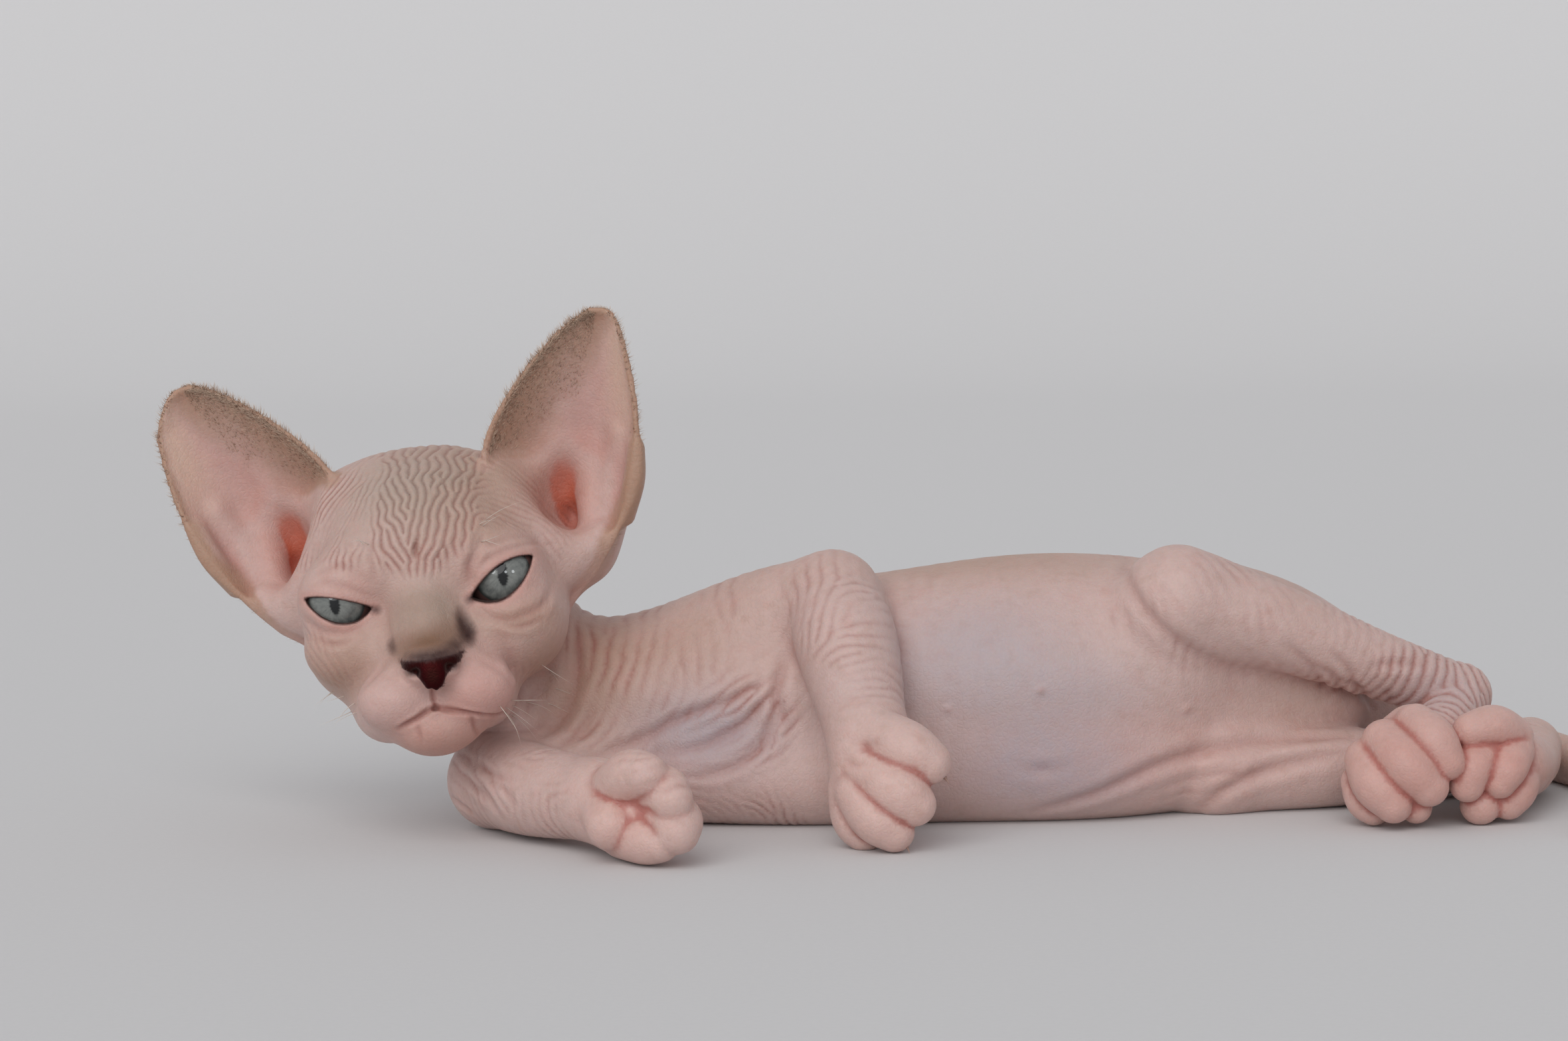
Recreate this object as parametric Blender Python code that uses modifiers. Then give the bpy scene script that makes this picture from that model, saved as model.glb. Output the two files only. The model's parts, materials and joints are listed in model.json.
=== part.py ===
"""Sphynx kitten, about eight weeks old, lying on its right side with its head raised, life size.

The animal is modelled whole, as flesh: ellipsoids for its muscles, head and toes and tapering tubes along
its bones are blended into one soft form, which is set on flat patches at floor level. The whole is then
parted with thin cuts into head, nose, neck, torso, tail and legs, and ears and eyes are set into it.

Every size below is in millimetres, and every mesh is in metres. X runs along the body from head to tail,
-Y is the side that the belly and the face point to, and +Z is up.
"""
import math

import bmesh
import bpy
import numpy as np
import openvdb
from mathutils import Matrix, Vector
from mathutils.bvhtree import BVHTree

MM = 0.001

# Gap that parted pieces keep to each other.
GAP = 0.3

# The grid that the flesh is blended on: its lowest and highest corner and the distance of its points.
GRID_LOW = (-121.0, -84.0, -8.6)
GRID_HIGH = (206.0, 54.0, 104.0)
GRID_STEP = 1.25
FAR = 40.0

# Joints of the skeleton.
SHOULDER_LEFT = (-24.0, 3.0, 33.0)
ELBOW_LEFT = (11.0, -14.0, 52.0)
WRIST_LEFT = (18.0, -45.0, 24.0)
SHOULDER_RIGHT = (-30.0, -4.0, 15.0)
ELBOW_RIGHT = (-68.0, -18.0, 11.5)
WRIST_RIGHT = (-43.0, -50.0, 11.5)
HIP_LEFT = (138.0, 26.0, 22.0)
KNEE_LEFT = (91.0, -20.0, 51.0)
HOCK_LEFT = (159.0, -4.0, 25.0)
HIP_RIGHT = (134.0, 26.0, 13.0)
KNEE_RIGHT = (101.0, -12.0, 10.0)
HOCK_RIGHT = (177.0, 4.0, 10.5)

# Skull and face: where each has its middle, between the eyes, and how it is turned by yaw, roll and pitch, in
# degrees. The face is pushed a little round the skull, as the cheek hangs over the lower forearm.
SKULL_MIDDLE = (-83.3, -29.0, 55.5)
SKULL_TURN = (-6.0, -10.0, -4.0)
FACE_MIDDLE = (-83.5, -29.0, 58.1)
FACE_TURN = (3.0, -7.5, -2.0)

EYE_OUT = 18.6
EYE_FORWARD = 0.2
EYE_RADIUS = 8.9
LID_DEPTH = 1.2
EYE_SLIT_LENGTH = 15.6
EYE_SLIT_SLANT = 21.0
UPPER_LID_RISE = 2.2
LOWER_LID_DROP = 4.0

MOUTH_GROOVE = 0.7
NOSE_MIDDLE = (0.8, -25.6, -16.4)
NOSE_RADII = (7.4, 4.0, 4.5)
NOSTRIL_OUT = 3.7
NOSTRIL_RADII = (1.7, 2.2, 1.1)

EAR_WALL = 1.7
EAR_STEPS_UP = 12
EAR_STEPS_ACROSS = 11
# How much further out the right ear's outer edge bows than the left one's, which is folded in.
RIGHT_EAR_FLARE = 3.2

# The head meets the neck on this point and direction. The fillet between them fades out over the reach.
NECK_TOP = (-62.0, 2.0, 42.0)
NECK_AIM = (-0.78, -0.40, 0.48)
NECK_FILLET = 7.0
NECK_REACH = 24.0

# Triangles that the flesh keeps, on the face and paws within these balls and everywhere else.
FINE_TRIANGLES = 3500
PLAIN_TRIANGLES = 2700
FINE_PLACES = [
    ((-84, -40, 48), 36), ((28, -54, 11), 18), ((-34, -62, 12), 19), ((141, -38, 12), 16), ((165, -36, 11), 15),
]
PROTECTION = 1000.0
SMALLEST_PIECE = 60

SKIN = (0.80, 0.55, 0.48)
PAW_SKIN = (0.82, 0.50, 0.46)
EAR_SKIN = (0.78, 0.50, 0.45)
NOSE_SKIN = (0.20, 0.06, 0.06)
EYE_BLUE = (0.30, 0.36, 0.38)

# A point inside each piece that the cuts set free, by which it is known.
PLACES = {
    "torso": (45, 5, 30), "neck": (-50, 4, 33), "head": (-84, -8, 62), "left_forepaw": (26, -50, 11),
    "right_forearm": (-57, -35, 11), "right_forepaw": (-36, -60, 12), "left_hind_paw": (146, -27, 14),
    "right_hind_paw": (169, -25, 10), "tail_base": (180, 30, 7), "tail_middle": (193, -5, 5), "tail_tip": (187, -42, 4),
}


def rotation(axis, degrees):
    """A rotation matrix about a coordinate axis."""
    return np.array(Matrix.Rotation(math.radians(degrees), 3, axis))


def turned(degrees):
    """The rotation by yaw, roll and pitch from a frame with X to the kitten's left, -Y ahead and Z to the crown."""
    yaw, roll, pitch = degrees
    return rotation("Z", yaw) @ rotation("Y", roll) @ rotation("X", pitch)


def skull_place(point):
    """A point of the skull's frame in the model's frame."""
    return turned(SKULL_TURN) @ np.array(point, float) + SKULL_MIDDLE


def face_place(point):
    """A point of the face's frame in the model's frame."""
    return turned(FACE_TURN) @ np.array(point, float) + FACE_MIDDLE


def frame_along(direction, up):
    """A rotation whose Y axis runs along the direction, with Z as near to up as it can be."""
    forward = Vector(direction).normalized()
    side = forward.cross(Vector(up)).normalized()
    return np.array(Matrix((side, forward, side.cross(forward))).transposed())


def smooth_path(stations, steps=6):
    """The stations with points between them on a Catmull-Rom curve."""
    given = np.array(stations, float)
    padded = np.vstack([2 * given[0] - given[1], given, 2 * given[-1] - given[-2]])
    made = []
    for a, b, c, d in zip(padded, padded[1:], padded[2:], padded[3:]):
        for t in np.arange(steps) / steps:
            line = 2 * b + (c - a) * t
            bend = (2 * a - 5 * b + 4 * c - d) * t**2 + (3 * b - a - 3 * c + d) * t**3
            made.append((line + bend) / 2)
    return np.array([*made, given[-1]])


class Flesh:
    """A soft solid, held as distances from its surface on a grid of points. Inside they are negative."""

    def __init__(self, step):
        self.low = np.array(GRID_LOW)
        self.step = step
        counts = np.ceil((np.array(GRID_HIGH) - self.low) / step).astype(int)
        self.distance = np.full(counts, FAR, np.float32)

    def window(self, low, high):
        """The slices of the grid that a box takes up, and the places of the grid's points in it."""
        first = np.maximum(np.floor((low - self.low) / self.step).astype(int), 0)
        last = np.minimum(np.ceil((high - self.low) / self.step).astype(int) + 1, self.distance.shape)
        axes = [self.low[k] + self.step * np.arange(first[k], last[k]) for k in range(3)]
        points = np.stack(np.meshgrid(*axes, indexing="ij"), -1).astype(np.float32)
        return tuple(slice(a, b) for a, b in zip(first, last)), points

    def blend(self, region, distance, softness):
        """Joins a form on, with a fillet where it meets what is there that grows with the softness."""
        there = self.distance[region]
        near = np.maximum(softness - np.abs(there - distance), 0)
        self.distance[region] = np.minimum(there, distance) - near**2 / (4 * softness)

    def carve(self, region, distance, softness):
        """Takes a form away, with its edge rounded by the softness."""
        there = self.distance[region]
        near = np.maximum(softness - np.abs(there + distance), 0)
        self.distance[region] = np.maximum(there, -distance) + near**2 / (4 * softness)

    def ellipsoid(self, centre, radii, softness, turn=np.eye(3), carve=False):
        """Joins on an ellipsoid, or takes it away. The columns of turn are the directions of its axes."""
        reach = max(radii) + softness + 2 * self.step
        region, points = self.window(np.array(centre) - reach, np.array(centre) + reach)
        local = (points - np.array(centre, np.float32)) @ turn / radii
        scaled = np.maximum(np.linalg.norm(local, axis=-1), 1e-3)
        slope = np.maximum(np.linalg.norm(local / radii, axis=-1), 1e-3 / max(radii))
        distance = scaled * (scaled - 1) / slope
        (self.carve if carve else self.blend)(region, distance, softness)

    def limb(self, stations):
        """Joins on a tube with round ends. A station is x, y, z, half width, half height, softness."""
        path = smooth_path(stations)
        spread = path[:, 3:5].max() + path[:, 5].max() + 2 * self.step
        region, points = self.window(path[:, :3].min(0) - spread, path[:, :3].max(0) + spread)
        axes = points[:, 0, 0, 0], points[0, :, 0, 1], points[0, 0, :, 2]
        distance = np.full(points.shape[:3], FAR, np.float32)
        softness = np.ones(points.shape[:3], np.float32)
        for start, end in zip(path, path[1:]):
            low = np.minimum(start[:3], end[:3]) - spread
            high = np.maximum(start[:3], end[:3]) + spread
            part = tuple(slice(*np.searchsorted(axis, ends)) for axis, ends in zip(axes, zip(low, high)))
            made, soft = self.tube(points[part], start, end)
            nearer = made < distance[part]
            softness[part] = np.where(nearer, soft, softness[part])
            distance[part] = np.where(nearer, made, distance[part])
        self.blend(region, distance, softness)

    @staticmethod
    def tube(points, start, end):
        """Distances of the points from a straight stretch of tube between two stations, and its softness."""
        along = end[:3] - start[:3]
        side = np.cross(along, (0, 0, 1))
        side /= np.linalg.norm(side)
        up = np.cross(side, along / np.linalg.norm(along))
        here = points - start[:3].astype(np.float32)
        share = np.clip(here @ along / (along @ along), 0, 1)[..., None]
        offset = here - share * along
        wide, tall, soft = np.moveaxis(start[3:] + share * (end - start)[3:], -1, 0)
        length = np.linalg.norm(offset, axis=-1)
        aside, above = offset @ side, offset @ up
        beyond = length**2 - aside**2 - above**2
        ratio = (aside / wide) ** 2 + (above / tall) ** 2 + beyond / (wide * tall)
        made = length - length / np.sqrt(np.maximum(ratio, 1e-6))
        return np.where(length < 0.5, -tall, made), soft

    def join(self, other, centre, reach, softness):
        """Joins on another soft solid, with a fillet only near the centre."""
        region, points = self.window(self.low, np.array(GRID_HIGH))
        away = np.linalg.norm(points - np.array(centre, np.float32), axis=-1) / reach
        self.blend(region, other.distance, 0.05 + softness * np.exp(-(away**4)))

    def mesh(self, name):
        """The surface as a mesh in metres."""
        grid = openvdb.FloatGrid(FAR)
        grid.copyFromArray(self.distance)
        points, triangles, quads = grid.convertToPolygons(0.0, 0.0)
        mesh = bpy.data.meshes.new(name)
        faces = [*triangles.tolist(), *quads.tolist()]
        mesh.from_pydata((points * self.step + self.low) * MM, [], faces)
        return mesh


def add_trunk(flesh):
    """Torso, haunches and neck."""
    flesh.limb([
        (-42, 6, 28, 18, 16, 8), (-28, 4, 26, 24, 21, 8), (-5, 2, 27, 28, 25.5, 8), (25, 1, 28, 30, 28, 8),
        (55, 1, 29.5, 34, 30, 8), (78, 4, 29, 32, 29.5, 8), (98, 11, 27, 27, 26.5, 8), (117, 19, 22, 22, 22, 8),
        (134, 26, 17, 19, 17, 8), (148, 31, 13, 15, 13, 8), (158, 36, 10.5, 10, 9.5, 8),
    ])
    flesh.limb([(-36, 4, 27, 20, 16, 6), (-52, 4, 33, 17, 14.5, 6), (-66, 3, 42, 17, 16, 6)])
    # The soft underside that spreads on the floor from brisket to groin.
    flesh.limb([
        (-22, -15, 11, 12, 11, 8), (5, -17, 11, 14, 12, 8), (35, -16, 12, 15, 13, 8), (70, -15, 13, 17, 14, 8),
        (98, -6, 12, 14, 12, 8),
    ])
    # The fold from belly to knee, and the flesh between the thighs.
    flesh.ellipsoid((84, -12, 38), (14, 14, 15), 10)
    flesh.ellipsoid((113, 0, 23), (24, 12, 13), 10)


def add_legs(flesh):
    """The four legs down to wrist and hock, each from its root in the trunk."""
    flesh.limb([(*SHOULDER_LEFT, 13, 13, 10), (-6, -6, 45, 12.5, 12.5, 8), (*ELBOW_LEFT, 10.5, 10.5, 5)])
    flesh.limb([(*ELBOW_LEFT, 10.5, 10.5, 4), (14, -28, 42.5, 11.8, 11.8, 2), (*WRIST_LEFT, 9, 9, 1)])
    flesh.limb([(*SHOULDER_RIGHT, 13, 13, 8), (-50, -12, 12.5, 11.5, 11.5, 4), (*ELBOW_RIGHT, 11, 11, 2)])
    flesh.limb([(*ELBOW_RIGHT, 11, 11, 3), (-58, -35, 11.5, 10.5, 10.5, 1), (*WRIST_RIGHT, 9, 9, 1)])
    flesh.limb([(*HIP_LEFT, 13, 13, 8), (116, 4, 38, 15, 14, 8), (*KNEE_LEFT, 11.5, 11.5, 6)])
    flesh.limb([
        (*KNEE_LEFT, 11.5, 11.5, 5), (112, -17, 44.5, 10, 10, 3), (137, -10, 34, 8, 8, 1), (*HOCK_LEFT, 7, 7, 1),
    ])
    flesh.limb([(*HIP_RIGHT, 13, 13, 8), (116, 6, 11, 14, 13, 8), (*KNEE_RIGHT, 11, 11, 5)])
    flesh.limb([
        (*KNEE_RIGHT, 11, 11, 5), (128, -10, 9.5, 10, 9.5, 3), (152, -2, 8, 7.5, 7.5, 1), (*HOCK_RIGHT, 7, 7, 1),
    ])


def add_feet(flesh):
    """The tail, and the feet from hock to toes."""
    flesh.limb([(*HOCK_LEFT, 7.4, 7.4, 1), (152, -18, 18, 6.8, 6.8, 1), (146, -29, 14, 7.6, 7.6, 1)])
    flesh.limb([(*HOCK_RIGHT, 7.4, 7.4, 1), (174, -13, 10, 6.6, 6.6, 1), (168, -26, 11, 7.2, 7.2, 1)])
    flesh.limb([
        (150, 35, 12, 9, 9, 6), (164, 38, 9.5, 7.5, 7.5, 4), (178, 32, 6.5, 6.4, 6.4, 2), (188, 16, 5.4, 5.8, 5.8, 1),
        (193, -5, 4.8, 5.2, 5.2, 1), (192, -26, 4.1, 4.5, 4.5, 1), (186, -45, 3.3, 3.6, 3.6, 1),
        (180, -57, 2.5, 2.8, 2.8, 1),
    ])


def add_paw(flesh, heel, direction, up, length, width, spread):
    """A paw from its heel along the direction, with up as its back: a palm, four toes and their pads."""
    turn = frame_along(direction, up)

    def put(x, y, z, radii, softness, splay=0.0):
        centre = np.array(heel) + turn @ (x * width * spread, y * length, z * width)
        flesh.ellipsoid(centre, radii, softness, turn @ rotation("Z", splay))

    put(0, 0.36, 0, (width * 0.40, length * 0.42, width * 0.33), 3)
    put(0, 0.45, -0.2, (width * 0.26, length * 0.18, width * 0.15), 1.5)
    # Each toe: how far out to the side, how far along, and how large.
    for side, along, size in ((-0.37, 0.66, 0.92), (-0.13, 0.80, 1.0), (0.13, 0.80, 1.0), (0.37, 0.66, 0.92)):
        toe = (width * 0.155 * size, length * 0.28 * size, width * 0.19 * size)
        put(side, along, 0.02, toe, 1.6, -side * 55 * spread)
        put(side * 1.02, along + 0.05, -0.14, (width * 0.12, length * 0.15, width * 0.11), 1.2, -side * 55)


def add_paws(flesh):
    """The four paws. Those of the lower legs show their soles, those of the upper ones their backs."""
    add_paw(flesh, (19, -46, 23), (0.42, -0.10, -0.90), (-0.52, -0.82, 0.1), 25, 22, 1.1)
    add_paw(flesh, (-42, -52, 11.2), (0.52, -0.84, -0.04), (-0.6, -0.35, 0.75), 25, 22, 1.1)
    add_paw(flesh, (146, -27, 14.2), (-0.42, -0.86, -0.32), (-0.45, 0.1, 0.88), 24, 21.5, 1.1)
    add_paw(flesh, (169, -25, 9.8), (-0.22, -0.96, 0.02), (0.92, -0.2, 0.35), 23, 20, 1.0)


def add_skull(flesh):
    """The head's back half, and the roots of the ears with the hollow in front of each, in the skull's frame."""
    turn = turned(SKULL_TURN)

    def put(x, y, z, radii, softness, local=np.eye(3), carve=False):
        flesh.ellipsoid(skull_place((x, y, z)), radii, softness, turn @ local, carve)

    put(0, 25, 9, (28, 31, 26), 5)
    put(0, 8, 11, (21, 18, 17), 6)
    put(0, 36, -4, (20, 18, 18), 8)
    put(-12, 20, 20, (14, 14, 13), 8)
    for side in (-1, 1):
        lean = rotation("Y", -side * 35)
        put(side * 18, 10, -7, (13, 18, 15), 7)
        put(side * 27.3, 20, 12.5, (8.2, 12.5, 18.5), 8, lean)
        put(side * 35, 8, 19.5, (7.5, 13, 17), 4, lean, True)


def add_face(flesh):
    """Brows, bridge, muzzle, chin and lids, in the face's frame."""
    turn = turned(FACE_TURN)

    def put(x, y, z, radii, softness, local=np.eye(3)):
        flesh.ellipsoid(face_place((x, y, z)), radii, softness, turn @ local)

    put(0.3, -5, -5, (7.5, 15, 8.5), 7, rotation("X", 35))
    put(0.3, -8, -17, (13, 12, 10), 6)
    put(-0.6, -12, -30.5, (9.8, 9.5, 7), 5)
    for side in (-1, 1):
        put(side * 13, 0, 6, (10.5, 8.5, 7), 6)
        put(side * 17, -2, -11, (11, 8, 8), 6)
        put(side * 10 - 1, 2, -26, (9, 16, 8.5), 6)
        put(side * 8.8 + 0.3, -14, -23, (9.2, 8.4, 7.2), 3.5)
        put(side * EYE_OUT, EYE_FORWARD, 0, (EYE_RADIUS + LID_DEPTH,) * 3, 3)
    put(0.6, -20.5, -15.6, (6.6, 5.4, 4.8), 2.5)


def ear_edges(side, share):
    """Where the inner and outer edge of an ear stand at this share of its height, in the skull's frame."""
    shares = (0.0, 0.12, 0.26, 0.42, 0.62, 0.82, 0.94, 1.0)
    inner = np.array([
        (17, 12, 22), (17.3, 12, 28), (19.5, 12, 34), (24.5, 12, 41), (32.5, 12.5, 49), (41.2, 13.5, 55.4),
        (46.6, 14, 57.8), (48.8, 14, 58.3),
    ])
    outer = np.array([
        (28, 17, -9), (37.5, 15, -1), (46.2, 14, 9), (52, 13.2, 19.5), (54.8, 13, 34), (54.6, 13.5, 47.5),
        (53.8, 14, 54.6), (52.6, 14, 56.8),
    ])
    inner_place, outer_place = (
        np.array([np.interp(share, shares, edge[:, k]) for k in range(3)]) for edge in (inner, outer))
    if side < 0:
        outer_place[0] += RIGHT_EAR_FLARE * np.interp(share, (0.3, 0.62, 0.82, 1), (0, 0.6, 1, 0))
    return inner_place, outer_place


def ear_surface(side, share, across):
    """A point of the ear's sheet, which sags back between its edges as a cup. Across runs from -1 to 1."""
    inner, outer = ear_edges(side, share)
    depth = np.interp(share, (0, 0.3, 0.6, 0.85, 1), (15, 15, 10, 4, 0.4))
    sag = math.sqrt(max(0.0, 1 - across * across))
    point = inner + (outer - inner) * (across + 1) / 2
    return point + np.array((0.25, 0.95, 0.1)) * depth * sag


def add_object(name, mesh, collection, colour=None, roughness=0.55):
    """An object with the mesh, smooth shaded, with a skin-like material of its own if a colour is given."""
    obj = bpy.data.objects.new(name, mesh)
    collection.objects.link(obj)
    if colour:
        finish(obj, colour, roughness)
    return obj


def finish(obj, colour, roughness=0.55):
    """Names the object's mesh after it, shades it smooth and gives it a material."""
    material = bpy.data.materials.new(obj.name)
    material.use_nodes = True
    shader = material.node_tree.nodes["Principled BSDF"]
    shader.inputs["Base Color"].default_value = (*colour, 1)
    shader.inputs["Roughness"].default_value = roughness
    obj.data.materials.clear()
    obj.data.materials.append(material)
    obj.data.name = obj.name
    obj.data.shade_smooth()
    obj.data.set_sharp_from_angle(angle=math.radians(45))


def mesh_of(form, name):
    """The form as a mesh, with its faces turned outwards."""
    bmesh.ops.recalc_face_normals(form, faces=form.faces)
    mesh = bpy.data.meshes.new(name)
    form.to_mesh(mesh)
    form.free()
    return mesh


def settle(obj):
    """Replaces the object's mesh by the one that its modifiers make."""
    graph = bpy.context.evaluated_depsgraph_get()
    mesh = bpy.data.meshes.new_from_object(obj.evaluated_get(graph))
    obj.modifiers.clear()
    obj.data = mesh


def combine(obj, cutter, operation):
    """Cuts the object with the cutter, or keeps what both hold."""
    boolean = obj.modifiers.new("cut", "BOOLEAN")
    boolean.operation = operation
    boolean.solver = "MANIFOLD"
    boolean.object = cutter
    settle(obj)


def placed(centre, turn, scale=(1, 1, 1)):
    """A matrix in metres that scales, turns and then places."""
    matrix = Matrix(turn.tolist()).to_4x4() @ Matrix.Diagonal((*scale, 1))
    return Matrix.Translation(Vector(centre) * MM) @ matrix


def cutter_from(form, name, collection):
    """A cutter, which is no part of the model."""
    cutter = add_object(name, mesh_of(form, name), collection)
    cutter.hide_render = True
    cutter.display_type = "WIRE"
    return cutter


def ellipsoid_cutter(name, centre, radii, turn, grow, collection, fineness=2):
    """An ellipsoid, larger by grow all round."""
    form = bmesh.new()
    scale = (np.array(radii) + grow) * MM
    bmesh.ops.create_icosphere(form, subdivisions=fineness, radius=1, matrix=placed(centre, turn, scale))
    return cutter_from(form, name, collection)


def cone_cutter(name, start, end, start_radius, end_radius, grow, collection):
    """A cone from start to end, larger by grow all round."""
    start, end = np.array(start, float), np.array(end, float)
    length = np.linalg.norm(end - start)
    turn = frame_along(end - start, (0.1, 0.2, 1)) @ rotation("X", -90)
    form = bmesh.new()
    bmesh.ops.create_cone(
        form, cap_ends=True, segments=28, radius1=(start_radius + grow) * MM, radius2=(end_radius + grow) * MM,
        depth=(length + 2 * grow) * MM, matrix=placed((start + end) / 2, turn),
    )
    return cutter_from(form, name, collection)


def disc_cutter(name, centre, normal, radius, collection):
    """A thin disc that parts a limb across."""
    half = np.array(normal) / np.linalg.norm(normal) * GAP / 2
    return cone_cutter(name, np.array(centre) - half, np.array(centre) + half, radius, radius, 0, collection)


def islands(obj):
    """The object's closed surfaces as separate meshes, largest first, each with its number of faces."""
    form = bmesh.new()
    form.from_mesh(obj.data)
    unseen = set(form.verts)
    found = []
    while unseen:
        edge = [unseen.pop()]
        held = set(edge)
        while edge:
            beside = {e.other_vert(v) for v in edge for e in v.link_edges} - held
            held |= beside
            edge = list(beside)
        unseen -= held
        piece = form.copy()
        keep = {v.index for v in held}
        piece.verts.ensure_lookup_table()
        bmesh.ops.delete(piece, geom=[v for v in piece.verts if v.index not in keep], context="VERTS")
        mesh = bpy.data.meshes.new("island")
        piece.to_mesh(mesh)
        piece.free()
        found.append(mesh)
    form.free()
    return sorted(found, key=lambda mesh: -len(mesh.polygons))


def take(rest, name, make_cutter, collection):
    """Parts from the rest what the cutter holds, with the gap between them, as a new object."""
    piece = add_object(name, rest.data.copy(), collection)
    combine(piece, make_cutter(grow=0), "INTERSECT")
    combine(rest, make_cutter(grow=GAP), "DIFFERENCE")
    piece.data = islands(piece)[0]
    return piece


def limb_cuts():
    """The volumes that hold the limbs where they lie against the trunk, as cutter functions by name."""
    def ellipsoid(centre, radii, along):
        turn = frame_along(along, (0, 0, 1))
        return lambda name, grow, to: ellipsoid_cutter(name, centre, radii, turn, grow, to)

    def cone(start, end, start_radius, end_radius):
        return lambda name, grow, to: cone_cutter(name, start, end, start_radius, end_radius, grow, to)

    elbow, wrist, knee, hock = (np.array(p) for p in (ELBOW_LEFT, WRIST_LEFT, KNEE_LEFT, HOCK_LEFT))
    lower_knee, lower_hock = np.array(KNEE_RIGHT), np.array(HOCK_RIGHT)
    return {
        "left_upper_arm": ellipsoid((0, -9, 47), (14.5, 27, 15), (33, -14, 14)),
        "left_forearm": cone(elbow, wrist + (0.2, -1, -1), 13.6, 11.4),
        "right_upper_arm": ellipsoid((-54.5, -13, 12.5), (14.5, 27.5, 14), ELBOW_RIGHT - np.array((-38, -8, 14))),
        "left_thigh": ellipsoid((107, -6, 41), (16.5, 46, 18), knee - (129, 14, 27)),
        "left_shank": cone(knee, hock + (1, 0.2, -0.3), 14, 9),
        "right_thigh": ellipsoid((113, 0, 11), (16.5, 42, 16), lower_knee - (131, 18, 12)),
        "right_shank": cone(lower_knee, lower_hock - (1, 0, 0), 13, 8.8),
    }


def discs():
    """Thin cuts across neck, wrist, tail and hocks: centre, direction and radius."""
    return {
        "head_cut": (NECK_TOP, NECK_AIM, 25),
        "neck_cut": ((-40, 5, 29), (-0.96, 0, 0.27), 30),
        "wrist_cut": ((-42, -51.5, 11.5), (0.52, -0.84, 0), 13),
        "tail_root_cut": ((166, 38, 9), (0.98, -0.15, -0.15), 11),
        "tail_middle_cut": ((190, 10, 5.6), (0.2, -0.98, 0), 8),
        "tail_tip_cut": ((190.5, -32, 4.3), (-0.2, -0.98, 0), 7),
    }


def thin_region(obj, inside, kept):
    """Lowers the number of triangles where the function says, and nowhere else."""
    points = np.array([v.co for v in obj.data.vertices]) / MM
    chosen = inside(points)
    corners = np.array([p.vertices for p in obj.data.polygons])
    there = int(chosen[corners].all(axis=1).sum())
    group = obj.vertex_groups.new(name="region")
    group.add(np.flatnonzero(chosen).tolist(), 1.0, "REPLACE")
    decimate = obj.modifiers.new("thin", "DECIMATE")
    decimate.ratio = 1 - (there - kept) / len(corners)
    decimate.vertex_group = group.name
    decimate.vertex_group_factor = PROTECTION
    settle(obj)
    obj.vertex_groups.clear()


def in_fine_place(points):
    """Whether each point is on the face or a paw."""
    return np.any([np.linalg.norm(points - centre, axis=1) < radius for centre, radius in FINE_PLACES], axis=0)


def thin_out(obj):
    """Lowers the number of triangles, less on the face and the paws."""
    obj.modifiers.new("triangles", "TRIANGULATE")
    settle(obj)
    thin_region(obj, lambda points: ~in_fine_place(points), PLAIN_TRIANGLES)
    thin_region(obj, in_fine_place, FINE_TRIANGLES)


def make_flesh(collection):
    """The whole kitten without ears and eyes, flat where it meets the floor."""
    flesh, head = Flesh(GRID_STEP), Flesh(GRID_STEP)
    add_trunk(flesh)
    add_legs(flesh)
    add_feet(flesh)
    add_paws(flesh)
    add_skull(head)
    add_face(head)
    flesh.join(head, NECK_TOP, NECK_REACH, NECK_FILLET)
    return add_object("flesh", flesh.mesh("flesh"), collection)


def cut_floor(obj, collection):
    """Cuts off what is below the floor."""
    form = bmesh.new()
    size = np.array((600, 300, 40)) * MM
    bmesh.ops.create_cube(form, size=1, matrix=placed((30, 0, -20), np.eye(3), size))
    combine(obj, cutter_from(form, "floor_cut", collection), "DIFFERENCE")


def part_body(rest, parts, cutters):
    """Parts the flesh into its named pieces."""
    for name, make in limb_cuts().items():
        take(rest, name, lambda grow: make(f"{name}_cut_{grow}", grow, cutters), parts)
    for name, (centre, normal, radius) in discs().items():
        combine(rest, disc_cutter(name, centre, normal, radius, cutters), "DIFFERENCE")
    found = [mesh for mesh in islands(rest) if len(mesh.polygons) >= SMALLEST_PIECE]
    bpy.data.objects.remove(rest)
    corners = [np.array([v.co for v in mesh.vertices]) / MM for mesh in found]
    for name, place in PLACES.items():
        nearest = min(range(len(found)), key=lambda k: np.linalg.norm(corners[k] - place, axis=1).min())
        add_object(name, found[nearest], parts)


def eye_place(side):
    """The middle of an eyeball in the face's frame, on the kitten's left for side 1."""
    return np.array((side * EYE_OUT, EYE_FORWARD, 0))


def make_eye(name, side, collection):
    """An eyeball."""
    form = bmesh.new()
    place = placed(face_place(eye_place(side)), turned(FACE_TURN) @ rotation("X", 90))
    bmesh.ops.create_uvsphere(form, u_segments=16, v_segments=9, radius=EYE_RADIUS * MM, matrix=place)
    add_object(name, mesh_of(form, name), collection, EYE_BLUE, 0.1)


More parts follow.
